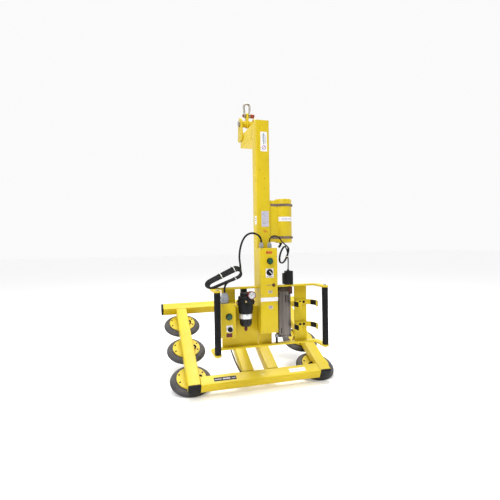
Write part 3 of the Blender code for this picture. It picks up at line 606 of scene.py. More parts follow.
def mast():
    cap = 5
    form = Form().block((-HALF, -HALF, 0), (HALF, HALF, MAST_H - cap), 6, 4, along=2)
    form.block((-HALF + 1, -HALF + 1, MAST_H - cap), (HALF - 1, HALF - 1, MAST_H), 1.2, 2)
    form.done("mast_square_tube", "yellow", replaces="mast_tube")
    welds = Form()
    inset = 1.5
    square_welds(welds, (-HALF + inset, -HALF + inset, 0), (HALF - inset, HALF - inset, 0), 2, MAST_H - cap, 1.8)
    square_welds(welds, (-HALF + 2, 0, ARM_LOW + 1), (HALF - 2, 0, MAST_H - 3), 1, HALF + 1)
    square_welds(welds, (-HALF + 2, 0, 3), (HALF - 2, 0, 2 * HALF - 1), 1, HALF + 1)
    for side in (-1, 1):
        face = side * (HALF + 1)
        welds.weld((face, BAIL.y - 52.5, ARM_LOW + 46), (face, BAIL.y - 52.5, MAST_H - 4))
        welds.weld((face, BAIL.y - 50, MAST_H), (face, ARM_BACK - 3, MAST_H))
        welds.weld((41.5, side * 30.5, 600), (41.5, side * 30.5, 838), 2)
        for row in (4.5, 13.5, 339, 347):
            welds.weld((side * 52, -HALF - 1.5, row), (side * 78, -HALF - 1.5, row), 1.8)
    welds.done("mast_welds", "weld")
    for name, end, low in (("bail_arm", ARM_BACK, ARM_LOW), ("lower_arm", LOW_ARM_END, 0.0)):
        high = low + 2 * HALF
        arm = Form().block((-HALF, HALF + GAP, low), (HALF, end - 4, high), 6, 4, along=1)
        arm.block((-HALF + 1.2, end - 4, low + 1.2), (HALF - 1.2, end, high - 1.2), 1.2, 2)
        arm.done(name + "_tube", "yellow", replaces=name)
    dots = Form()
    for across, height in ((7, 909), (9, 964), (-22, 1012)):
        dots.lathe([(1.9, 0.4), (2.1, 0)], (across, -HALF, height), (0, -1, 0), 12)
    dots.done("mast_blind_rivets", "plastic")
    label("mast_notice", (-13, -HALF - 0.4, 1120), (26, -HALF, 1232), ((0.40, 0.60, 0.36, 0.93),
        (0.24, 0.30, 0.50, 0.90), (0.72, 0.78, 0.42, 0.84)), marks="slate")
    ring = Form().lathe([(9.5, 0.3), (12.5, 0.3), (12.5, 0), (9.5, 0)], (6.5, -HALF - 0.4,
        1142), (0, -1, 0), 32, ring=True)
    ring.block((5.5, -HALF - 0.7, 1131.5), (7.5, -HALF - 0.4, 1152.5), 0, 1, None,
        Matrix.Translation((6.5, 0, 1142)) @ Matrix.Rotation(math.radians(45), 4,
        "Y") @ Matrix.Translation((-6.5, 0, -1142)))
    ring.done("mast_notice_ring", "purple")
    label("mast_data_plate", (-14, -HALF - 0.5, 686), (30, -HALF, 776), ((0.10, 0.90, 0.86, 0.89),
        (0.10, 0.72, 0.74, 0.77), (0.10, 0.86, 0.62, 0.65), (0.10, 0.64, 0.48, 0.51), (0.10, 0.90, 0.34, 0.37),
        (0.10, 0.52, 0.20, 0.23)), "lilac", "slate")
    label("mast_small_label", (-6, -HALF - 0.3, 652), (26, -HALF, 668), ((0.05, 0.60, 0.55, 0.80),
        (0.20, 0.90, 0.15, 0.40)), "yellow", "orange")
    label("mast_side_label", (-HALF - 0.4, -30, 700), (-HALF, 6, 750), ((0.15, 0.85, 0.70, 0.76),
        (0.15, 0.65, 0.45, 0.51)), across=1)


def lifting_eye():
    lug_half, foot, corner, eye_r = 52, -112, 14, 39
    shoulder = foot + corner
    touch = tangent((lug_half, shoulder), eye_r, 1)
    edge = [(-lug_half, shoulder), (-lug_half + corner, foot), (lug_half - corner, foot), (lug_half, shoulder)]
    edge += arc((0, 0), eye_r, touch, 180 - touch, 32)
    bore = arc((0, 0), PIN_R + GAP, 0, 360, 32)[:-1]
    for side, word in SIDES:
        cut_plate("lug_" + word, [edge, bore], 10, "yellow", (side * 45.3, BAIL.y, BAIL.z), OUT_X,
            replaces="lug_plate_" + word, edge=1.2)
    pin = Form().lathe([(9.5, 66), (PIN_R, 63.5), (PIN_R, -50.6), (18, -50.6), (19, -51.6),
        (19, -57), (16.5, -59.6)], BAIL, (1, 0, 0), 40)
    pin.lathe([(PIN_R, 52.5), (19.5, 52.5), (20.5, 51.5), (20.5, 50.8), (PIN_R, 50.8)], BAIL,
        (1, 0, 0), 40, ring=True)
    pin.lathe([(PIN_R, 60.5), (17.2, 60.5), (19.2, 59.2), (19.2, 53.7), (17.2, 52.5),
        (PIN_R, 52.5)], BAIL, (1, 0, 0), 6, ring=True)
    pin.sweep([BAIL + Vector((63.5, 0, 17)), BAIL + Vector((63.5, 0, -17.5))], 1.6, 10)
    pin.done("bail_pin_and_nut", "zinc", replaces="bail_pin")
    pitch = (LINK_TOP - BAIL).length
    link_edge = arc((0, 0), 26, -190, 10, 36) + arc((0, pitch), 18, 10, 170, 24)
    cut_plate("link_plate", [link_edge, bore, arc((0, pitch), SHACKLE_PIN_R + GAP, 0, 360, 24)[:-1]], 14, "yellow",
        BAIL, OUT_X, "link", edge=2.2, replaces="lifting_link")
    hub = Form()
    for side in (-1, 1):
        ends = sorted((side * 6.5, side * 39), reverse=True)
        hub.lathe([(PIN_R + GAP, ends[0]), (19.8, ends[0]), (21, ends[0] - 1.2), (21, ends[1] + 1.2),
            (19.8, ends[1]), (PIN_R + GAP, ends[1])], BAIL, (1, 0, 0), 40, ring=True)
        hub.sweep([BAIL + Vector((side * 8.5, 21.5 * math.cos(a), 21.5 * math.sin(a))) for a in (math.tau * i
            / 40 for i in range(40))], 1.8, 8, closed=True)
    hub.done("link_hub", "yellow", "link")
    ear_in, ear_out, ear_r, bow_r, bow_half, leg = 10.3, 22.8, 14.5, 6.5, 19.5, 58
    leg_x = (ear_in + ear_out) / 2
    crown = [(x, 0, z) for x, z in arc((0, leg), bow_half, 0, 180, 24)]
    right = [(leg_x, 0, 2), (leg_x, 0, 18), (leg_x + 1.8, 0, 34), (leg_x + 2.9, 0, 48)]
    left = [(-x, 0, z) for x, _, z in reversed(right)]
    bow = Form().sweep([LINK_TOP + Vector(p) for p in smooth_route(right + crown + left, 3)], bow_r, 20)
    for side in (-1, 1):
        ends = sorted((side * ear_in, side * ear_out), reverse=True)
        bow.lathe([(SHACKLE_PIN_R + GAP, ends[0]), (ear_r - 2, ends[0]), (ear_r, ends[0] - 2),
            (ear_r, ends[1] + 2), (ear_r - 2, ends[1]), (SHACKLE_PIN_R + GAP, ends[1])], LINK_TOP, (1, 0, 0),
            36, ring=True)
    bow.done("shackle_bar", "zinc", "shackle", replaces="shackle_bow")
    head = leg_x + bow_r + GAP
    bolt = Form().lathe([(10.5, 49.5), (13, 47.8), (13.5, 46), (13.5, head + 1.5),
        (12, head), (SHACKLE_PIN_R, head), (SHACKLE_PIN_R, -28), (6.5, -30)], LINK_TOP, (1, 0, 0), 36)
    bolt.block(LINK_TOP + Vector((36, -13.5, -3)), LINK_TOP + Vector((50, 13.5, 3)), 1, 2)
    bolt.done("shackle_bolt", "red", "shackle", replaces="shackle_pin")


# ---------------------------------------------------------------- tilting frame and pads
BEAM_W, TOP, FRONT, BACK, SIDE_X, MIDDLE_X = 73, 28, -375, 378, 408, 77.5
BACK_HALF = 549
INNER = SIDE_X - BEAM_W / 2 - GAP


def tilt_pivot():
    pivot = axis_of("pad_frame_tilt")
    top = -pivot.z - GAP
    front, rear, round_r = -150, -68, 34
    edge = [(front, top), (rear, top)] + arc((0, 0), round_r, tangent((rear, top), round_r, -1),
        tangent((front, top), round_r, 1) - 360, 36)
    bore = arc((0, 0), PIN_R + GAP, 0, 360, 32)[:-1]
    welds = Form()
    for side, word in SIDES:
        cut_plate("cheek_" + word, [edge, bore], 12, "yellow", (side * 26, pivot.y, pivot.z), OUT_X,
            replaces="pivot_cheek_" + word, edge=1.2)
        for face in (19.5, 32.5):
            welds.weld((side * face, pivot.y + front + 2, -1), (side * face, pivot.y + rear - 2, -1),
                2.2)
    welds.done("cheek_welds", "weld")
    face = MIDDLE_X + BEAM_W / 2 + GAP
    pin = Form().lathe([(PIN_R - 1, face + 4), (PIN_R, face + 3), (PIN_R, -face - 3),
        (PIN_R - 1, -face - 4)], (0, 0, 0), (1, 0, 0), 40)
    for side in (-1, 1):
        axis = (side, 0, 0)
        pin.lathe([(12.5, face + 8), (14.5, face + 6.8), (14.5, face + 2.2)], (0, 0, 0), axis, 6)
        pin.lathe([(17.2, face + 2.2), (18, face + 1.5), (18, face)], (0, 0, 0), axis, 36)
    pin.done("pivot_pin_and_nuts", "zinc", "pad_frame", "pivot_pin")


def beams():
    cap = 14

    def tube(name, low, high, run, node):
        Form().block((low[0], low[1], -TOP), (high[0], high[1], TOP), 6.8, 4, along=run).done(name, "yellow",
            "pad_frame", node)

    tube("front_tube", (-INNER, FRONT), (INNER, FRONT + BEAM_W), 0, "front_beam")
    tube("back_tube", (-BACK_HALF + cap, BACK), (BACK_HALF - cap, BACK + BEAM_W), 0, "back_beam")
    caps = Form()
    welds = Form()
    for side, word in SIDES:
        centre = side * SIDE_X
        tube("side_tube_" + word, (centre - BEAM_W / 2, FRONT + cap), (centre + BEAM_W / 2, BACK - GAP), 1,
            "side_beam_" + word)
        tube("middle_tube_" + word, (side * MIDDLE_X - BEAM_W / 2, FRONT + BEAM_W + GAP),
            (side * MIDDLE_X + BEAM_W / 2, BACK - GAP), 1, "middle_beam_" + word)
        caps.block((centre - BEAM_W / 2, FRONT, -TOP), (centre + BEAM_W / 2, FRONT + cap, TOP), 6, 4)
        low, high = sorted((side * BACK_HALF, side * (BACK_HALF - cap)))
        caps.block((low, BACK, -TOP), (high, BACK + BEAM_W, TOP), 6.8, 4)
        face = side * (SIDE_X - BEAM_W / 2 - 1)
        square_welds(welds, (0, FRONT + 16, -TOP + 1), (0, FRONT + BEAM_W - 1, TOP - 1), 0, face)
        for middle in (centre, side * MIDDLE_X):
            square_welds(welds, (middle - BEAM_W / 2 + 3, 0, -TOP + 1), (middle + BEAM_W / 2 - 3, 0,
                TOP - 1), 1, BACK - 1)
        square_welds(welds, (side * MIDDLE_X - BEAM_W / 2 + 3, 0, -TOP + 1),
            (side * MIDDLE_X + BEAM_W / 2 - 3, 0, TOP - 1), 1, FRONT + BEAM_W + 1)
    caps.done("beam_end_caps", "plastic", "pad_frame")
    welds.done("frame_welds", "weld", "pad_frame")
    top = TOP + 0.4
    label("frame_black_plate", (-295, FRONT + 20, TOP), (-162, FRONT + 48, top),
        ((0.04, 0.34, 0.42, 0.58), (0.40, 0.72, 0.34, 0.66), (0.80, 0.95, 0.44, 0.56)), "plastic", "lilac",
        "pad_frame")
    label("frame_white_plate", (172, FRONT + 20, TOP), (278, FRONT + 50, top),
        ((0.08, 0.30, 0.38, 0.62), (0.36, 0.58, 0.38, 0.62), (0.64, 0.92, 0.38, 0.62)), "white", "lilac", "pad_frame")
    label("frame_centre_mark", (-10, FRONT + 26, TOP), (10, FRONT + 44, top), ((0.15, 0.85, 0.15, 0.85),),
        "yellow", "weld", "pad_frame")
    label("back_beam_label", (-420, BACK + 40, TOP), (-330, BACK + 52, top), ((0.05, 0.95, 0.25, 0.75),),
        "yellow", "weld", "pad_frame")


PLATE = [(29, -0.3), (30, -1.2), (30.4, -4.5), (32.5, -6.1), (86.5, -8.9),
    (88, -10.2), (88, -14), (87, -15)]
LIP = [(90, -15.3), (92.2, -16), (93, -18.6), (94.8, -19.6), (96, -18.6),
    (100, -19.6), (107, -22.8), (113, -26.2), (118, -29.6), (122.2, -33), (125, -35.6),
    (126, -37.5), (123.5, -37.5), (115, -36.6), (109, -33), (104, -28.6), (99, -25),
    (96, -23.5), (82, -23.5), (81.5, -25.6), (78.5, -25.6), (78, -23.5), (58, -23.5),
    (57.5, -25.6), (54.5, -25.6), (54, -23.5), (13, -23.5), (12, -20.5)]


def pads():
    bolts = Form()
    brass = Form()
    elbows = Form()
    for side, word in SIDES:
        for row, v in (("front", 136), ("middle", 402), ("back", 668)):
            spot = Vector((side * SIDE_X, v + FRONT, -TOP))
            which = f"{row}_{word}"
            Form().lathe(PLATE, spot, steps=96).done("pad_disc_" + which, "yellow", "pad_frame", "pad_plate_" + which)
            Form().lathe(LIP, spot, steps=96).done("pad_seal_" + which, "pad", "pad_frame", "pad_lip_" + which, 24)
            for i in range(8):
                angle = math.tau * (i + 0.5) / 8
                bolts.socket_bolt(spot + Vector((76 * math.cos(angle), 76 * math.sin(angle), -8.8)),
                    (0, 0, 1), 4.8, 4)
            port = spot + Vector((-side * 56, -16, -7.8))
            brass.hex_bolt(port, (0, 0, 1), 8.5, 6, 10)
            up = port + Vector((0, 0, 7.5))
            bend = [up, up + Vector((0, 0, 8)), up + Vector((side * 3, 0, 13)),
                up + Vector((side * 8, 0, 15.5)), up + Vector((side * 19.5, 0, 16))]
            elbows.sweep(smooth_route(bend, 1.5), 5.8, 14)
            elbows.lathe([(7.8, 4), (7.8, 0)], (side * (SIDE_X - BEAM_W / 2 - 4), up.y, up.z + 16),
                (side, 0, 0), 6)
    bolts.done("pad_plate_bolts", "plastic", "pad_frame")
    brass.done("pad_port_nipples", "brass", "pad_frame")
    elbows.done("pad_port_elbows", "smoke", "pad_frame")
    ends = Form()
    for x, y, facing in ((-119, FRONT + BEAM_W, 1), (-127, BACK, -1)):
        ends.lathe([(4.8, 12), (7.2, 12), (7.8, 10), (7.8, 6.2), (11, 6),
            (11, 0), (4.8, 0)], (x, y, 4), (0, facing, 0), 6, ring=True)
    ends.done("frame_line_fittings", "plastic", "pad_frame")


# ---------------------------------------------------------------- control box
BOX_FRONT, BOX_LOW, BOX_HIGH, BOX_HALF, BAR_BACK = -117.6, 88, 563, 50, -40.3
OUTWARD = (0, -1, 0)
START, SELECTOR = (6, 490.6), (3, 427.5)
ATTACH, RELEASE = (-234, 196), (-230, 128)


def push_button(name, look, joint, node, face, spot, radius):
    Form().lathe([(0, 15.2), (radius * 0.45, 15.6), (radius * 0.80, 16), (radius - 1.2, 15.6),
        (radius, 14.2), (radius, 8.2), (radius - 0.7, 7.5), (10.5, 7.5), (10.5, -22)],
        (spot[0], face, spot[1]), OUTWARD, 48).done(name, look, joint, replaces=node)


def bezel(form, spot, face, inner, outer, height):
    form.lathe([(inner, height), (outer - 1, height), (outer, height - 1), (outer, 0), (inner, 0)],
        (spot[0], face, spot[1]), OUTWARD, 48, ring=True)


def control_box():
    Form().block((-BOX_HALF, BOX_FRONT + 3 + GAP, BOX_LOW), (BOX_HALF, BAR_BACK, BOX_HIGH), 2.2,
        3).done("control_enclosure", "yellow", replaces="control_box")
    face = Form().block((-BOX_HALF, BOX_FRONT, BOX_LOW), (BOX_HALF, BOX_FRONT + 3, BOX_HIGH), 1.2, 2)
    face.block((-BOX_HALF + 5, BOX_FRONT - 1.6, BOX_LOW + 6), (BOX_HALF - 5, BOX_FRONT + 1, 260),
        1.4, 2)
    face.done("control_cover", "yellow", replaces="control_box_cover")
    screws = Form()
    for across in (-44, 44):
        for height in (300, 406, 515, 556):
            screws.socket_bolt((across, BOX_FRONT, height), OUTWARD, 2.6, 1.6)
    for across in (-38, 38):
        for height in (101, 253):
            screws.socket_bolt((across, BOX_FRONT - 1.6, height), OUTWARD, 2.6, 1.4)
    screws.done("control_cover_screws", "zinc")
    push_button("start_cap", "green", "start_push", "start_button", BOX_FRONT, START, 14.5)
    rings = Form()
    bezel(rings, START, BOX_FRONT, 15.2, 18.2, 5.5)
    rings.lathe([(6, 3), (8.5, 3), (9.2, 2.2), (9.2, 0), (6, 0)],
        (26, BOX_FRONT, 356), OUTWARD, 32, ring=True)
    rings.done("control_bezels", "plastic")
    plate = Form().block((SELECTOR[0] - 22.5, BOX_FRONT - 0.9, SELECTOR[1] - 29),
        (SELECTOR[0] + 22.5, BOX_FRONT, SELECTOR[1] + 21.5), 0.3, 1)
    plate.done("selector_legend_plate", "white")
    ring = Form()
    bezel(ring, SELECTOR, BOX_FRONT - 0.9, 15, 18.8, 1.6)
    ring.done("selector_ring", "plastic")
    marks = Form()
    for left, right, low, high in ((-16, -4, 401.5, 404.5), (-1, 19, 401.5, 404.5)):
        marks.block((left, BOX_FRONT - 1.2, low), (right, BOX_FRONT - 0.8, high))
    marks.done("selector_legend_marks", "ink")
    turn = Matrix.Translation((SELECTOR[0], 0, SELECTOR[1])) @ Matrix.Rotation(math.radians(-45), 4, "Y")
    knob = Form().lathe([(12.2, 12), (14.2, 10.5), (14.5, 9), (14.5, 2), (10.5, 2),
        (10.5, -22)], (SELECTOR[0], BOX_FRONT, SELECTOR[1]), OUTWARD, 48)
    knob.block((-3.5, BOX_FRONT - 22, -13.8), (3.5, BOX_FRONT - 6, 13.8), 1.2, 3, None, turn)
    knob.done("selector_grip", "plastic", "selector", replaces="selector_knob")
    stripe = Form().block((-1.6, BOX_FRONT - 22.3, -10.5), (1.6, BOX_FRONT - 21.5, 12.5), 0.2, 1,
        None, turn)
    stripe.done("selector_stripe", "white", "selector")
    Form().lathe([(0, 5.8), (4, 5), (6, 3), (6, 0)], (26, BOX_FRONT, 356), OUTWARD,
        32).done("pilot_lamp", "dark_red")
    skin = 0.4
    label("control_top_label", (-18, BOX_FRONT - skin, 528), (20, BOX_FRONT, 549),
        ((0.04, 0.34, 0.15, 0.85), (0.38, 0.62, 0.15, 0.85), (0.66, 0.96, 0.15, 0.85)), "yellow", "orange")
    label("pilot_label", (-14, BOX_FRONT - skin, 351), (14, BOX_FRONT, 361), ((0.05, 0.45, 0.3, 0.7),
        (0.55, 0.95, 0.3, 0.7)), "yellow", "band")
    label("middle_label", (-6, BOX_FRONT - skin, 312), (18, BOX_FRONT, 325), ((0.1, 0.9, 0.55, 0.85),
        (0.1, 0.7, 0.15, 0.4)), "lilac", "band")
    label("lower_label", (-6, BOX_FRONT - 1.6 - skin, 224), (18, BOX_FRONT - 1.6, 241),
        ((0.1, 0.9, 0.60, 0.85), (0.1, 0.7, 0.15, 0.4)), "lilac", "band")
    strip = Form().block((-BOX_HALF - 0.4, BOX_FRONT - 1.8, 266), (BOX_HALF + 0.4, BOX_FRONT + 6,
        288), 0.6, 2)
    strip.done("control_white_band", "white")


def gland(name, node, spot, cable_r, scale=1.0):
    """Hexagon base, hexagon dome nut with a rounded crown, and the seal round the cable."""
    base = Form().lathe([(10.8, 9), (13, 7.8), (13, 1.5), (11.8, GAP)], spot, steps=6)
    base.lathe([(10.5, 10.5), (10.5, 8.5)], spot, steps=32)
    base.lathe([(11.2, 21.5), (13, 19.8), (13, 11.8), (11.5, 10.4)], spot, steps=6)
    crown = max(cable_r / scale + 2.2, 6)
    base.lathe([(crown, 31), (crown + 1.4, 30.2), (10.2, 26), (11, 21.5), (11, 19.5)],
        spot, steps=40)
    if scale != 1.0:
        grow = Matrix.Translation(spot) @ Matrix.Scale(scale, 4) @ Matrix.Translation(-Vector(spot))
        bmesh.ops.transform(base.mesh, matrix=grow, verts=base.mesh.verts)
    base.done(name, "nylon", replaces=node, smooth=30.0)


# ---------------------------------------------------------------- handle frame
BAR_W, BAR_T, BAR_OUT, TOP_BAR_Z, LOW_BAR_Z = 38, 10, 328, 343, 9
GRIP_X, GRIP_Y, GRIP_R, ROD_R = 309, -182, 17, 9.5
PLATE_X, PLATE_W, PLATE_T = 218.5, 77, 8
BAR_UNDER, BAR_OVER = TOP_BAR_Z - BAR_T / 2 - GAP, LOW_BAR_Z + BAR_T / 2 + GAP
PLATE_FRONT = BAR_BACK - PLATE_T - GAP


def bar_edge():
    """Edge of a handle bar, seen from above: across the mast, round two corners and forward to the grips."""
    outer_r, inner_r = 45, 14
    edge = arc((-BAR_OUT + outer_r, BAR_BACK - outer_r), outer_r, 180, 90, 16)
    edge += arc((BAR_OUT - outer_r, BAR_BACK - outer_r), outer_r, 90, 0, 16)
    edge += arc((GRIP_X, GRIP_Y), BAR_W / 2, 0, -180, 20)
    inner_x = BAR_OUT - BAR_W - inner_r
    inner_y = BAR_BACK - BAR_W - inner_r
    edge += arc((inner_x, inner_y), inner_r, 0, 90, 8)
    edge += arc((-inner_x, inner_y), inner_r, 90, 180, 8)
    edge += arc((-GRIP_X, GRIP_Y), BAR_W / 2, 0, -180, 20)
    return edge


def handle_frame():
    for word, height in (("top", TOP_BAR_Z), ("low", LOW_BAR_Z)):
        cut_plate(f"handle_{word}_flat", [bar_edge()], BAR_T, "yellow", (0, 0, height), replaces=f"handle_{word}_bar",
            edge=1.6)
    rods = Form()
    bolts = Form()
    welds = Form()
    for side, word in SIDES:
        spot = (side * GRIP_X, GRIP_Y, 0)
        rods.lathe([(ROD_R, TOP_BAR_Z), (ROD_R, BAR_OVER)], spot, steps=32)
        bolts.hex_bolt((side * GRIP_X, GRIP_Y, TOP_BAR_Z + BAR_T / 2), (0, 0, 1), 7.5, 4.5, 10.5)
        bolts.hex_bolt((side * GRIP_X, GRIP_Y, LOW_BAR_Z - BAR_T / 2), (0, 0, -1), 7.5, 4.5, 10.5)
        rings = [(GRIP_R - 3.5, BAR_UNDER), (GRIP_R - 1, BAR_UNDER - 1.2), (GRIP_R, BAR_UNDER - 4),
            (GRIP_R, BAR_UNDER - 100), (GRIP_R - 0.4, BAR_UNDER - 160), (GRIP_R, BAR_OVER + 100),
            (GRIP_R, BAR_OVER + 4), (GRIP_R - 1, BAR_OVER + 1.2), (GRIP_R - 3.5, BAR_OVER),
            (ROD_R + GAP, BAR_OVER), (ROD_R + GAP, BAR_UNDER)]
        Form().lathe(rings, spot, steps=56, ring=True).done("foam_" + word, "foam", replaces="grip_" + word)
        left, right = side * PLATE_X - PLATE_W / 2, side * PLATE_X + PLATE_W / 2
        edge = [(left, BAR_OVER), (right, BAR_OVER), (right, BAR_UNDER), (left, BAR_UNDER)]
        if side < 0:
            inner, top = -BOX_HALF - GAP, 235
            edge = [(left, BAR_OVER), (inner, BAR_OVER), (inner, top), *arc((right + 12, top + 12), 12, 270,
                180, 6), (right, BAR_UNDER), (left, BAR_UNDER)]
        cut_plate("side_plate_fine_" + word, [edge], PLATE_T, "yellow", (0, BAR_BACK - PLATE_T / 2, 0),
            (math.pi / 2, 0, 0), replaces="side_plate_" + word, edge=1.2)
        for height in (BAR_UNDER, BAR_OVER):
            welds.weld((left + 3, BAR_BACK - PLATE_T - 0.8, height), (right - 3,
                BAR_BACK - PLATE_T - 0.8, height), 2.2)
    rods.done("handle_rods", "yellow")
    bolts.done("handle_bolts", "zinc")
    welds.done("plate_welds", "weld")


# ---------------------------------------------------------------- switch box
def switch_box():
    low, high = Vector((-277, -121, 81)), Vector((-195, PLATE_FRONT, 266))
    Form().block(low, high, 5, 4).done("switch_enclosure", "yellow", replaces="switch_box")
    face = low.y - 1.2
    lid = Form().block((low.x + 1.5, face, low.z + 1.5), (high.x - 1.5, low.y + 4, high.z - 1.5),
        3, 3)
    lid.done("switch_box_lid", "yellow")
    screws = Form()
    for across in (low.x + 10, high.x - 10):
        for height in (low.z + 10, high.z - 10):
            screws.socket_bolt((across, face, height), OUTWARD, 2.8, 1.6)
    screws.done("switch_box_screws", "zinc")
    push_button("attach_cap", "green", "attach_push", "attach_button", low.y, ATTACH, 14.5)
    push_button("release_cap", "plastic", "release_push", "release_button", low.y, RELEASE, 13)
    rings = Form()
    bezel(rings, ATTACH, face, 15.2, 18.4, 5)
    rings.done("attach_bezel", "plastic")
    silver = Form()
    bezel(silver, RELEASE, face, 13.6, 17.6, 4)
    silver.block((RELEASE[0] - 19, face - 0.8, RELEASE[1] - 12), (RELEASE[0] + 15, face + 0.2,
        RELEASE[1] + 21.5), 0.3, 1)
    silver.done("release_bezel", "bright")
    label("release_label", (-250, face - 0.5, 85.5), (-217, face, 107.5), ((0.28, 0.36, 0.10, 0.90),
        (0.62, 0.70, 0.10, 0.90)), "dark_red", "maroon")


# ---------------------------------------------------------------- filter, regulator and gauge
FILTER = Vector((-134, -100, 0))
GAUGE = Vector((-114, -162, 311))
BOWL_TOP, BAND_LOW, BOWL_LOW = 206, 178, 135


def filter_unit():
    head = Form().lathe([(23.5, 322), (26.2, 320.8), (30, 317.5), (30, 303.5), (32, 302),
        (38.5, 300), (41, 297.5), (42, 293.5), (42, 266), (40.8, 264), (40.8, 260),
        (42, 258), (41.5, 240), (39.5, 220), (37.5, 206.5)], FILTER, steps=64)
    for i in range(18):
        turn = Matrix.Translation(FILTER) @ Matrix.Rotation(math.tau * i / 18, 4, "Z")
        head.block((29, -2.2, 304.5), (31.2, 2.2, 318), 0.6, 1, None, turn)
    head.block((FILTER.x - 16, FILTER.y + 22, 280), (FILTER.x + 16, BAR_BACK - 6, BAR_UNDER), 2, 2)
    for side in (-1, 1):
        head.lathe([(13.8, 48), (15, 47), (15, 36)], FILTER + Vector((0, 0, 266)),
            (side, 0, 0), 8)
    head.lathe([(9.5, 12), (10.5, 11), (10.5, -4)], FILTER + Vector((18, -30, 311)),
        (0, -1, 0), 24)
    head.lathe([(14, 3.5), (15, 2.5), (15, 0)], FILTER + Vector((-10, -39.5, 276)),
        (0, -1, 0), 24)
    head.done("regulator_body", "plastic", replaces="filter_head")
    nipples = Form()
    for side in (-1, 1):
        nipples.lathe([(5.5, 56), (6.5, 55), (6.5, 52), (9.8, 51.5), (9.8, 47.8)],
            FILTER + Vector((0, 0, 266)), (side, 0, 0), 6)
    nipples.lathe([(4.2, 5), (5, 4), (5, 0)], FILTER + Vector((-10, -43, 276)),
        (0, -1, 0), 16)
    nipples.done("filter_nipples", "brass")
    clamp = Form().lathe([(35, BOWL_TOP - GAP), (36.2, BOWL_TOP - 1.4), (36.2, BAND_LOW + 1.2),
        (35, BAND_LOW)], FILTER, steps=64)
    clamp.block((FILTER.x - 6, FILTER.y - 40.5, BAND_LOW + 4), (FILTER.x + 6, FILTER.y - 34,
        BOWL_TOP - 4), 1.2, 2)
    clamp.done("bowl_clamp_band", "bright")
    bowl = Form().lathe([(33, BAND_LOW), (33, 149), (32.2, 145.5), (29, 138.5), (26.2, 135.6),
        (23, BOWL_LOW)], FILTER, steps=64)
    for i in range(12):
        turn = Matrix.Translation(FILTER) @ Matrix.Rotation(math.tau * i / 12, 4, "Z")
        bowl.block((30, -1.8, 150), (34.2, 1.8, 177.5), 0.6, 1, None, turn)
    bowl.done("bowl_guard", "smoke", replaces="filter_bowl")
    drain = Form().lathe([(6, BOWL_LOW - GAP), (6, BOWL_LOW - 6), (8, BOWL_LOW - 7),
        (8.5, BOWL_LOW - 8.5), (8.5, BOWL_LOW - 21.5), (7.8, BOWL_LOW - 24),
        (6, BOWL_LOW - 27), (2.5, BOWL_LOW - 27), (2.5, BOWL_LOW - 22)], FILTER, steps=32)
    for i in range(10):
        turn = Matrix.Translation(FILTER) @ Matrix.Rotation(math.tau * i / 10, 4, "Z")
        drain.block((7.8, -1, BOWL_LOW - 20.5), (9.1, 1, BOWL_LOW - 9.5), 0.3, 1, None, turn)
    drain.done("drain_tap", "dark_red", "drain", replaces="drain_valve")


def gauge():
    Form().lathe([(19.2, 0), (21.2, 0), (22, -1), (22, -7.5), (21.2, -8.5),
        (20.5, -9), (20.5, -30), (18, -34), (0, -34), (0, -6), (19.2, -6)],
        GAUGE, OUTWARD, 56, None).done("gauge_case", "dark_red")
    face = GAUGE.y + 6
    dial = Form().lathe([(19, 0.4), (19, 0)], (GAUGE.x, face, GAUGE.z), OUTWARD, 48)
    dial.done("gauge_dial", "white")
    scale = Form()
    for i in range(26):
        angle = math.radians(225 - 270 * i / 25)
        long = i % 5 == 0
        turn = Matrix.Translation((GAUGE.x, 0, GAUGE.z)) @ Matrix.Rotation(-angle, 4, "Y")
        scale.block((13.5 if long else 15, face - 0.65, -0.3 - 0.2 * long),
            (17.2, face - 0.3, 0.3 + 0.2 * long), 0, 1, None, turn)
    scale.done("gauge_scale", "ink")
    for name, look, start, end in (("gauge_green_arc", "dial_green", 100, 215), ("gauge_red_arc", "orange", -40, 60)):
        edge = arc((GAUGE.x, GAUGE.z), 12.8, start, end, 20) + arc((GAUGE.x, GAUGE.z), 10.8, end, start, 20)
        Form().slab(edge, face - 0.7, 0.4).done(name, look)
    needle = Form()
    turn = Matrix.Translation((GAUGE.x, GAUGE.y + 4.2, GAUGE.z)) @ Matrix.Rotation(math.radians(50.0), 4, "Y")
    outline = ((-1.1, -6), (1.1, -6), (1.4, 1), (0.3, 16.5), (-0.3, 16.5),
        (-1.4, 1))
    needle.slab(outline, -0.5, 0.8, turn)
    needle.lathe([(2.2, 0.9), (2.5, 0.5), (2.5, -0.4)], (GAUGE.x, GAUGE.y + 4.2, GAUGE.z),
        OUTWARD, 24)
    needle.done("gauge_pointer", "ink", "needle", replaces="gauge_needle")
    Form().lathe([(0, 0.6), (19.1, 0.2), (19.1, -0.4), (0, 0)], (GAUGE.x, GAUGE.y + 1.2, GAUGE.z),
        OUTWARD, 48).done("gauge_lens", "glass")


# ---------------------------------------------------------------- reservoir, generator, connector, clips
TANK_X, TANK_R, TANK_LOW, TANK_HIGH, SADDLE = 134, 51, 592, 850, 30


def wrap(form, radius, skin, start, end, low, high, centre, steps=24):
    """A thin strip that follows a round surface."""
    columns = []
    outer, inner = (arc(centre, size, start, end, steps) for size in (radius + skin, radius))
    for (ox, oy), (ix, iy) in zip(outer, inner):
        columns.append([form.mesh.verts.new(spot) for spot in ((ox, oy, high), (ox, oy, low), (ix, iy, low),
            (ix, iy, high))])
    for first, second in zip(columns, columns[1:]):
        for k in range(4):
            m = (k + 1) % 4
            form.mesh.faces.new((first[k], first[m], second[m], second[k]))
    form.mesh.faces.new(columns[0])
    form.mesh.faces.new(list(reversed(columns[-1])))
    return form


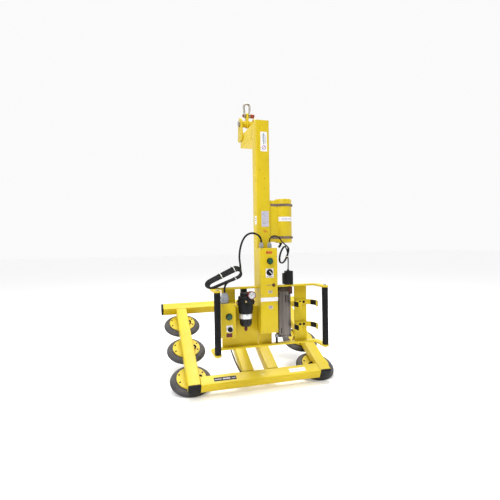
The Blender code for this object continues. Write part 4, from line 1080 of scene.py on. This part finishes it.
def reservoir():
    tank = Form().lathe([(44, TANK_HIGH), (49, TANK_HIGH - 1.6), (TANK_R, TANK_HIGH - 6),
        (TANK_R, TANK_LOW + 6), (49, TANK_LOW + 1.6), (44, TANK_LOW)], (TANK_X, 0, 0), steps=96)
    saddle_low, saddle_high = TANK_LOW + 6, TANK_HIGH - 10
    tank.block((HALF + GAP, -SADDLE, saddle_low), (TANK_X - 30, SADDLE, saddle_high), 2, 2)
    tank.done("reservoir_tank", "yellow", replaces="reservoir")
    straps = Form()
    front = SADDLE + 0.4
    touch = math.degrees(math.asin(front / TANK_R))
    for height in (623, 813):
        low, high = height - 7.5, height + 7.5
        wrap(straps, TANK_R + 0.1, 1, -180 + touch, 180 - touch, low, high, (TANK_X, 0), 72)
        for side in (-1, 1):
            straps.block((HALF + 6, side * front - 0.6, low), (TANK_X - 38, side * front + 0.6, high),
                0.3, 1)
        for i in range(13):
            turn = Matrix.Translation((TANK_X, 0, height)) @ Matrix.Rotation(math.radians(-140 + 9.0 * i), 4, "Z")
            straps.block((TANK_R + 0.8, -2, -5.2), (TANK_R + 1.8, 2, 5.2), 0.3, 1, None, turn)
        turn = Matrix.Translation((TANK_X, 0, height)) @ Matrix.Rotation(math.radians(-22), 4, "Z")
        straps.block((TANK_R, -10, -6.8), (TANK_R + 6, 10, 6.8), 1.2, 2, None, turn)
    straps.done("reservoir_straps", "band")
    curved = Form()
    wrap(curved, TANK_R - 0.2, 0.6, -142, -8, 718, 744, (TANK_X, 0))
    curved.done("reservoir_label", "white")
    marks = Form()
    for start, end in ((-120, -106), (-102, -80), (-76, -62), (-56, -40)):
        wrap(marks, TANK_R + 0.3, 0.4, start, end, 728, 735, (TANK_X, 0), 6)
    marks.done("reservoir_label_print", "lilac")
    under = Form().hex_bolt((TANK_X - 22, -14, TANK_LOW), (0, 0, -1), 9.5, 5, 11.5)
    start = Vector((TANK_X - 22, -14, TANK_LOW - 5))
    under.sweep(smooth_route([start, start + Vector((0, 0, -4)), start + Vector((-6, 0, -13)),
        start + Vector((-13, 0, -22))], 1.5), 7, 16)
    under.done("reservoir_elbow", "smoke")


def generator():
    low, high = Vector((67, -86, 52)), Vector((141, -30, 312))
    Form().block(low, high, 2.8, 3).done("generator_case", "stainless", replaces="vacuum_generator")
    Form().block((70, -83, 306), (138, -33, BAR_UNDER), 3, 2).done("generator_cap", "olive")
    dark = Form()
    for across, height, tall in ((110, 270, 42), (124, 270, 42), (82, 88, 34)):
        dark.block((across - 3, low.y - 0.6, height - tall / 2), (across + 3, low.y + 2,
            height + tall / 2), 0.5, 1)
    for across, height in ((74, 300), (134, 300), (74, 62), (134, 62), (138, 120)):
        dark.socket_bolt((across, low.y, height), OUTWARD, 3.2, 2.2)
    hose = [(55.5, -74, 52), (56, -74, 40), (57.5, -70, 28), (60.5, -62, 19)]
    dark.sweep(smooth_route(hose, 2), 7, 16)
    dark.done("generator_slots_and_outlet", "smoke")
    Form().block((126, -86.5, 296), (152, -52, BAR_UNDER), 2.5, 2).done("generator_bracket", "maroon")
    foot = Form().block((66, -87.5, 50), (142.5, -28.5, 60), 1.6, 2)
    for across in (136.5, 73.5):
        foot.hex_bolt((across, -87.5, 55), OUTWARD, 3, 2.2, 3.8)
    foot.done("generator_foot", "stainless")
    outlet = Form().lathe([(10.5, 12), (12, 10.5), (12, -2), (10.5, -3.5)], (55.5, -74, 56), steps=6)
    outlet.block((55.5, -80, 54.5), (68.5, -68, 65.5), 2, 2)
    outlet.done("generator_outlet", "nylon")


def connector():
    top, bottom = 428.3, 348.3
    body = Form().block((118, -76.3, bottom), (163, -42.3, top), 4, 3)
    body.block((104, -72.3, bottom + 4), (125, -46.3, bottom + 68), 3, 3)
    for height in (366, 380, 394, 408):
        body.block((122, -77.3, height - 3.5), (159, -75.5, height + 3.5), 1, 1)
    body.lathe([(4, top + 9), (5.2, top + 9), (8.5, top + 2), (8.5, top - 2),
        (4, top - 2)], (139, -56, 0), (0, 0, 1), 20, ring=True)
    body.done("connector_housing", "plastic", replaces="connector_block")


CLIP_X, CLIP_R, CLIP_T, CLIP_H, CLIP_JAW = 222.5, 66, 5, 30, 40


def clips():
    bolts = Form()
    for name, height in (("spring_clip_upper", 241), ("spring_clip_lower", 110)):
        centre = (CLIP_X, PLATE_FRONT - CLIP_R)
        edge = arc((0, 0), CLIP_R, -CLIP_JAW, 180 + CLIP_JAW, 64)
        edge += arc((0, 0), CLIP_R - CLIP_T, 180 + CLIP_JAW, -CLIP_JAW, 64)
        cut_plate(name + "_band", [edge], CLIP_H, "yellow", (*centre, height), replaces=name, edge=1)
        lugs = Form().block((CLIP_X - 24, PLATE_FRONT - 9, height - CLIP_H / 2), (CLIP_X + 24, PLATE_FRONT,
            height + CLIP_H / 2), 1.5, 2)
        liner = Form()
        for start, end in ((-CLIP_JAW + 13, 38), (180 + CLIP_JAW - 13, 142)):
            low, high = sorted((start, end))
            wrap(liner, CLIP_R - CLIP_T - 2.8, 2.6, low, high, height - CLIP_H / 2 + 1.2,
                height + CLIP_H / 2 - 1.2, centre)
            wrap(liner, CLIP_R + 0.2, 1.8, low, high, height - CLIP_H / 2 + 1.2,
                height + CLIP_H / 2 - 1.2, centre)
        liner.done(name + "_liners", "liner")
        for angle in (-CLIP_JAW, 180 + CLIP_JAW):
            tip = math.radians(angle)
            mid = CLIP_R - CLIP_T / 2
            lugs.lathe([(3.5, CLIP_H / 2), (4.2, CLIP_H / 2 - 0.8), (4.2, -CLIP_H / 2 + 0.8),
                (3.5, -CLIP_H / 2)], (centre[0] + mid * math.cos(tip), centre[1] + mid * math.sin(tip), height),
                steps=20)
        lugs.done(name + "_foot_and_tips", "yellow")
        for across in (-12, 12):
            bolts.hex_bolt((CLIP_X + across, PLATE_FRONT - 9, height), OUTWARD, 5.5, 4, 7.8)
        for across in (-29, 29):
            bolts.socket_bolt((CLIP_X + across - 4, PLATE_FRONT, height), OUTWARD, 3.6, 3)
    bolts.done("clip_bolts", "smoke")


# ---------------------------------------------------------------- cords
CABLE_A_R, CABLE_B_R, HOSE_R = 5.5, 3.5, 4.5
GLAND_TOP = 32
gland_a_low, gland_a_high = local_box("control_gland_left")
gland_b_low, gland_b_high = local_box("control_gland_right")
gland_c_low, gland_c_high = local_box("switch_box_gland")
GLAND_A = Vector(((gland_a_low.x + gland_a_high.x) / 2, (gland_a_low.y + gland_a_high.y) / 2, gland_a_low.z))
GLAND_B = Vector(((gland_b_low.x + gland_b_high.x) / 2, (gland_b_low.y + gland_b_high.y) / 2, gland_b_low.z))
GLAND_C = Vector(((gland_c_low.x + gland_c_high.x) / 2, (gland_c_low.y + gland_c_high.y) / 2, gland_c_low.z))

HANK_RIGHT, HANK_LEFT = Vector((-178, 0, 435.5)), Vector((-318, 0, 388))
HANK_R = 38.5 - CABLE_A_R
HANK_BACK, HANK_PITCH, HANK_FAN, HANK_TURNS, HANK_SAG = -51.5, 11.6, 3, 4, 14


def hank_point(turns):
    """A place on the hank: turns wound from the middle of its right end, clockwise from the front.

    The turns lie together along the bottom and fan out into a flat band along the top. The hank narrows
    and sags towards its left end.
    """
    along = (HANK_RIGHT - HANK_LEFT).normalized()
    up = Vector((-along.z, 0, along.x))
    run = (HANK_RIGHT - HANK_LEFT).length
    bend = HANK_R - HANK_FAN * turns
    lap = 2 * run + math.tau * bend
    travel = (turns % 1.0) * lap
    middle = -up * (HANK_R - bend)
    rest = (travel + math.pi / 2 * bend) % lap
    turned = math.pi * bend
    if rest < turned:
        angle = math.pi / 2 - rest / bend
        spot = HANK_RIGHT + along * math.cos(angle) * bend + up * math.sin(angle) * bend
    elif rest < turned + run:
        spot = HANK_RIGHT - up * bend - along * (rest - turned)
    elif rest < 2 * turned + run:
        angle = -math.pi / 2 - (rest - turned - run) / bend
        spot = HANK_LEFT + along * math.cos(angle) * bend + up * math.sin(angle) * bend
    else:
        spot = HANK_LEFT + up * bend + along * (rest - 2 * turned - run)
    offset = spot + middle - HANK_LEFT
    reach, height = offset.dot(along), offset.dot(up)
    share = min(1.0, max(0.0, reach / run))
    height *= 0.74 + 0.26 * share
    spot = HANK_LEFT + along * reach + up * height
    return Vector((spot.x, HANK_BACK - HANK_PITCH * turns, spot.z - HANK_SAG * (1.0 - share)))


def control_cable():
    """Thick cable: over from its gland, wound into the hank on the top bar, and down to the switch box."""
    top = GLAND_A.z + GLAND_TOP + GAP
    lead = [(GLAND_A.x, GLAND_A.y, top), (-31.5, -80, 612), (-44, -81, 633), (-68, -83, 646),
        (-94, -85, 648), (-120, -86, 636), (-139, -85, 611), (-151, -80, 577),
        (-156, -72, 540), (-155, -62, 505), (-149, -55, 469)]
    leave = HANK_TURNS + 0.15
    steps = int(leave * 40)
    wound = [hank_point(leave * i / steps) for i in range(steps + 1)]
    gland_top = GLAND_C.z + (gland_c_high.z - gland_c_low.z) + GAP
    down = [(-232, -96, 380.5), (-244.5, -90, 365), (-248.5, -88, 348),
        (GLAND_C.x, GLAND_C.y, gland_top)]
    route = eased(smooth_route(metres(lead + wound + down), 0.003), 0.006)
    cord_curve("control_cable", route, CABLE_A_R, "mast", "control_cable_lead control_cable_hank control_cable_drop")


def ties():
    """White nylon ties round the hank's runs and round the thin cable's loops."""
    form = Form()

    def tie(centre, along, reach, turn=0.0):
        """A flat band round a bundle, with its square lock; reach is its half width and half depth."""
        along = Vector(along).normalized()
        side = along.cross(Vector((0, 1, 0))).normalized()
        deep = Vector((0, 1, 0))
        path = []
        for i in range(40):
            a = math.tau * i / 40
            c, d = math.cos(a), math.sin(a)
            path.append(Vector(centre) + side * reach[0] * math.copysign(abs(c) ** 0.6,
                c) + deep * reach[1] * math.copysign(abs(d) ** 0.6, d))
        for shift in (-1.2, 0.0, 1.2):
            form.sweep([p + along * shift for p in path], 0.9, 6, closed=True)
        lock = Vector(centre) - deep * reach[1] + side * turn
        form.block(lock - Vector((3, 2.2, 3)), lock + Vector((3, 1.2, 3)), 0.6, 1)

    slope = (HANK_RIGHT - HANK_LEFT).normalized()
    up = Vector((-slope.z, 0, slope.x))
    depth = HANK_BACK - HANK_PITCH * HANK_TURNS / 2
    fan = HANK_FAN * HANK_TURNS
    half_deep = HANK_PITCH * HANK_TURNS / 2 + 8.5
    for share in (0.40, 0.92):
        width = 0.74 + 0.26 * share
        middle = HANK_LEFT.lerp(HANK_RIGHT, share) + up * (HANK_R - fan) * width
        lean = (HANK_RIGHT + up * HANK_R - HANK_LEFT - up * HANK_R * 0.74 + Vector((0, 0, HANK_SAG))).normalized()
        tie((middle.x, depth, middle.z - HANK_SAG * (1 - share)), lean, (fan * width + 6.8, half_deep), 4)
    low = HANK_LEFT.lerp(HANK_RIGHT, 0.86) - up * HANK_R * 0.93
    tie((low.x, depth, low.z - HANK_SAG * 0.14), slope, (7, half_deep))
    tie((136.5, -60, 513), (-0.10, 0, 1.0), (12, 15))
    form.done("cable_ties", "tie")


def signal_cable():
    """Thin cable: over from its gland, two hanging loops, and down into the connector block."""
    over = [(GLAND_B.x, GLAND_B.y, GLAND_B.z + GLAND_TOP + GAP), (18.5, -80, 610), (30, -80, 627),
        (52, -79, 632), (78, -77, 622), (96, -75, 598)]
    centre_x, centre_z, half_x, half_z, lean = 112, 524, 21, 54, math.radians(-20.0)
    loops = []
    for i in range(2, 25):
        angle = math.radians(115 - 30 * i)
        across, up = half_x * math.cos(angle), half_z * math.sin(angle)
        loops.append((centre_x + across * math.cos(lean) - up * math.sin(lean), -74 + 1 * i,
            centre_z + across * math.sin(lean) + up * math.cos(lean)))
    connector_top = local_box("connector_block")[1].z
    down = [(133, -51, 556), (139, -52, 532), (141, -53, 505), (141, -55, 478),
        (139, -56, connector_top + GAP)]
    cord_curve("signal_lead", eased(smooth_route(metres(over + loops + down), 0.003), 0.005), CABLE_B_R, "mast",
        "signal_cable")


def frame_hose():
    """Vacuum line between the back beam and the front beam, beside the left middle beam."""
    front, back = -375 + 73 + GAP, 378 - GAP
    route = [(-119, front, 4), (-119, front + 20, 4), (-125, front + 60, 3),
        (-131, front + 150, 0), (-133, front + 300, -2), (-132, back - 200, 0),
        (-128, back - 80, 3), (-127, back - 20, 4), (-127, back, 4)]
    cord_curve("frame_line", smooth_route(metres(route), 0.008), HOSE_R, "pad_frame", "frame_hose")


mast()
lifting_eye()
tilt_pivot()
beams()
pads()
control_box()
gland("gland_left", "control_gland_left", GLAND_A, CABLE_A_R)
gland("gland_right", "control_gland_right", GLAND_B, CABLE_B_R)
gland("gland_switch_box", "switch_box_gland", GLAND_C, CABLE_A_R, 1.8)
handle_frame()
switch_box()
filter_unit()
gauge()
reservoir()
generator()
connector()
clips()
ties()
control_cable()
signal_cable()
frame_hose()
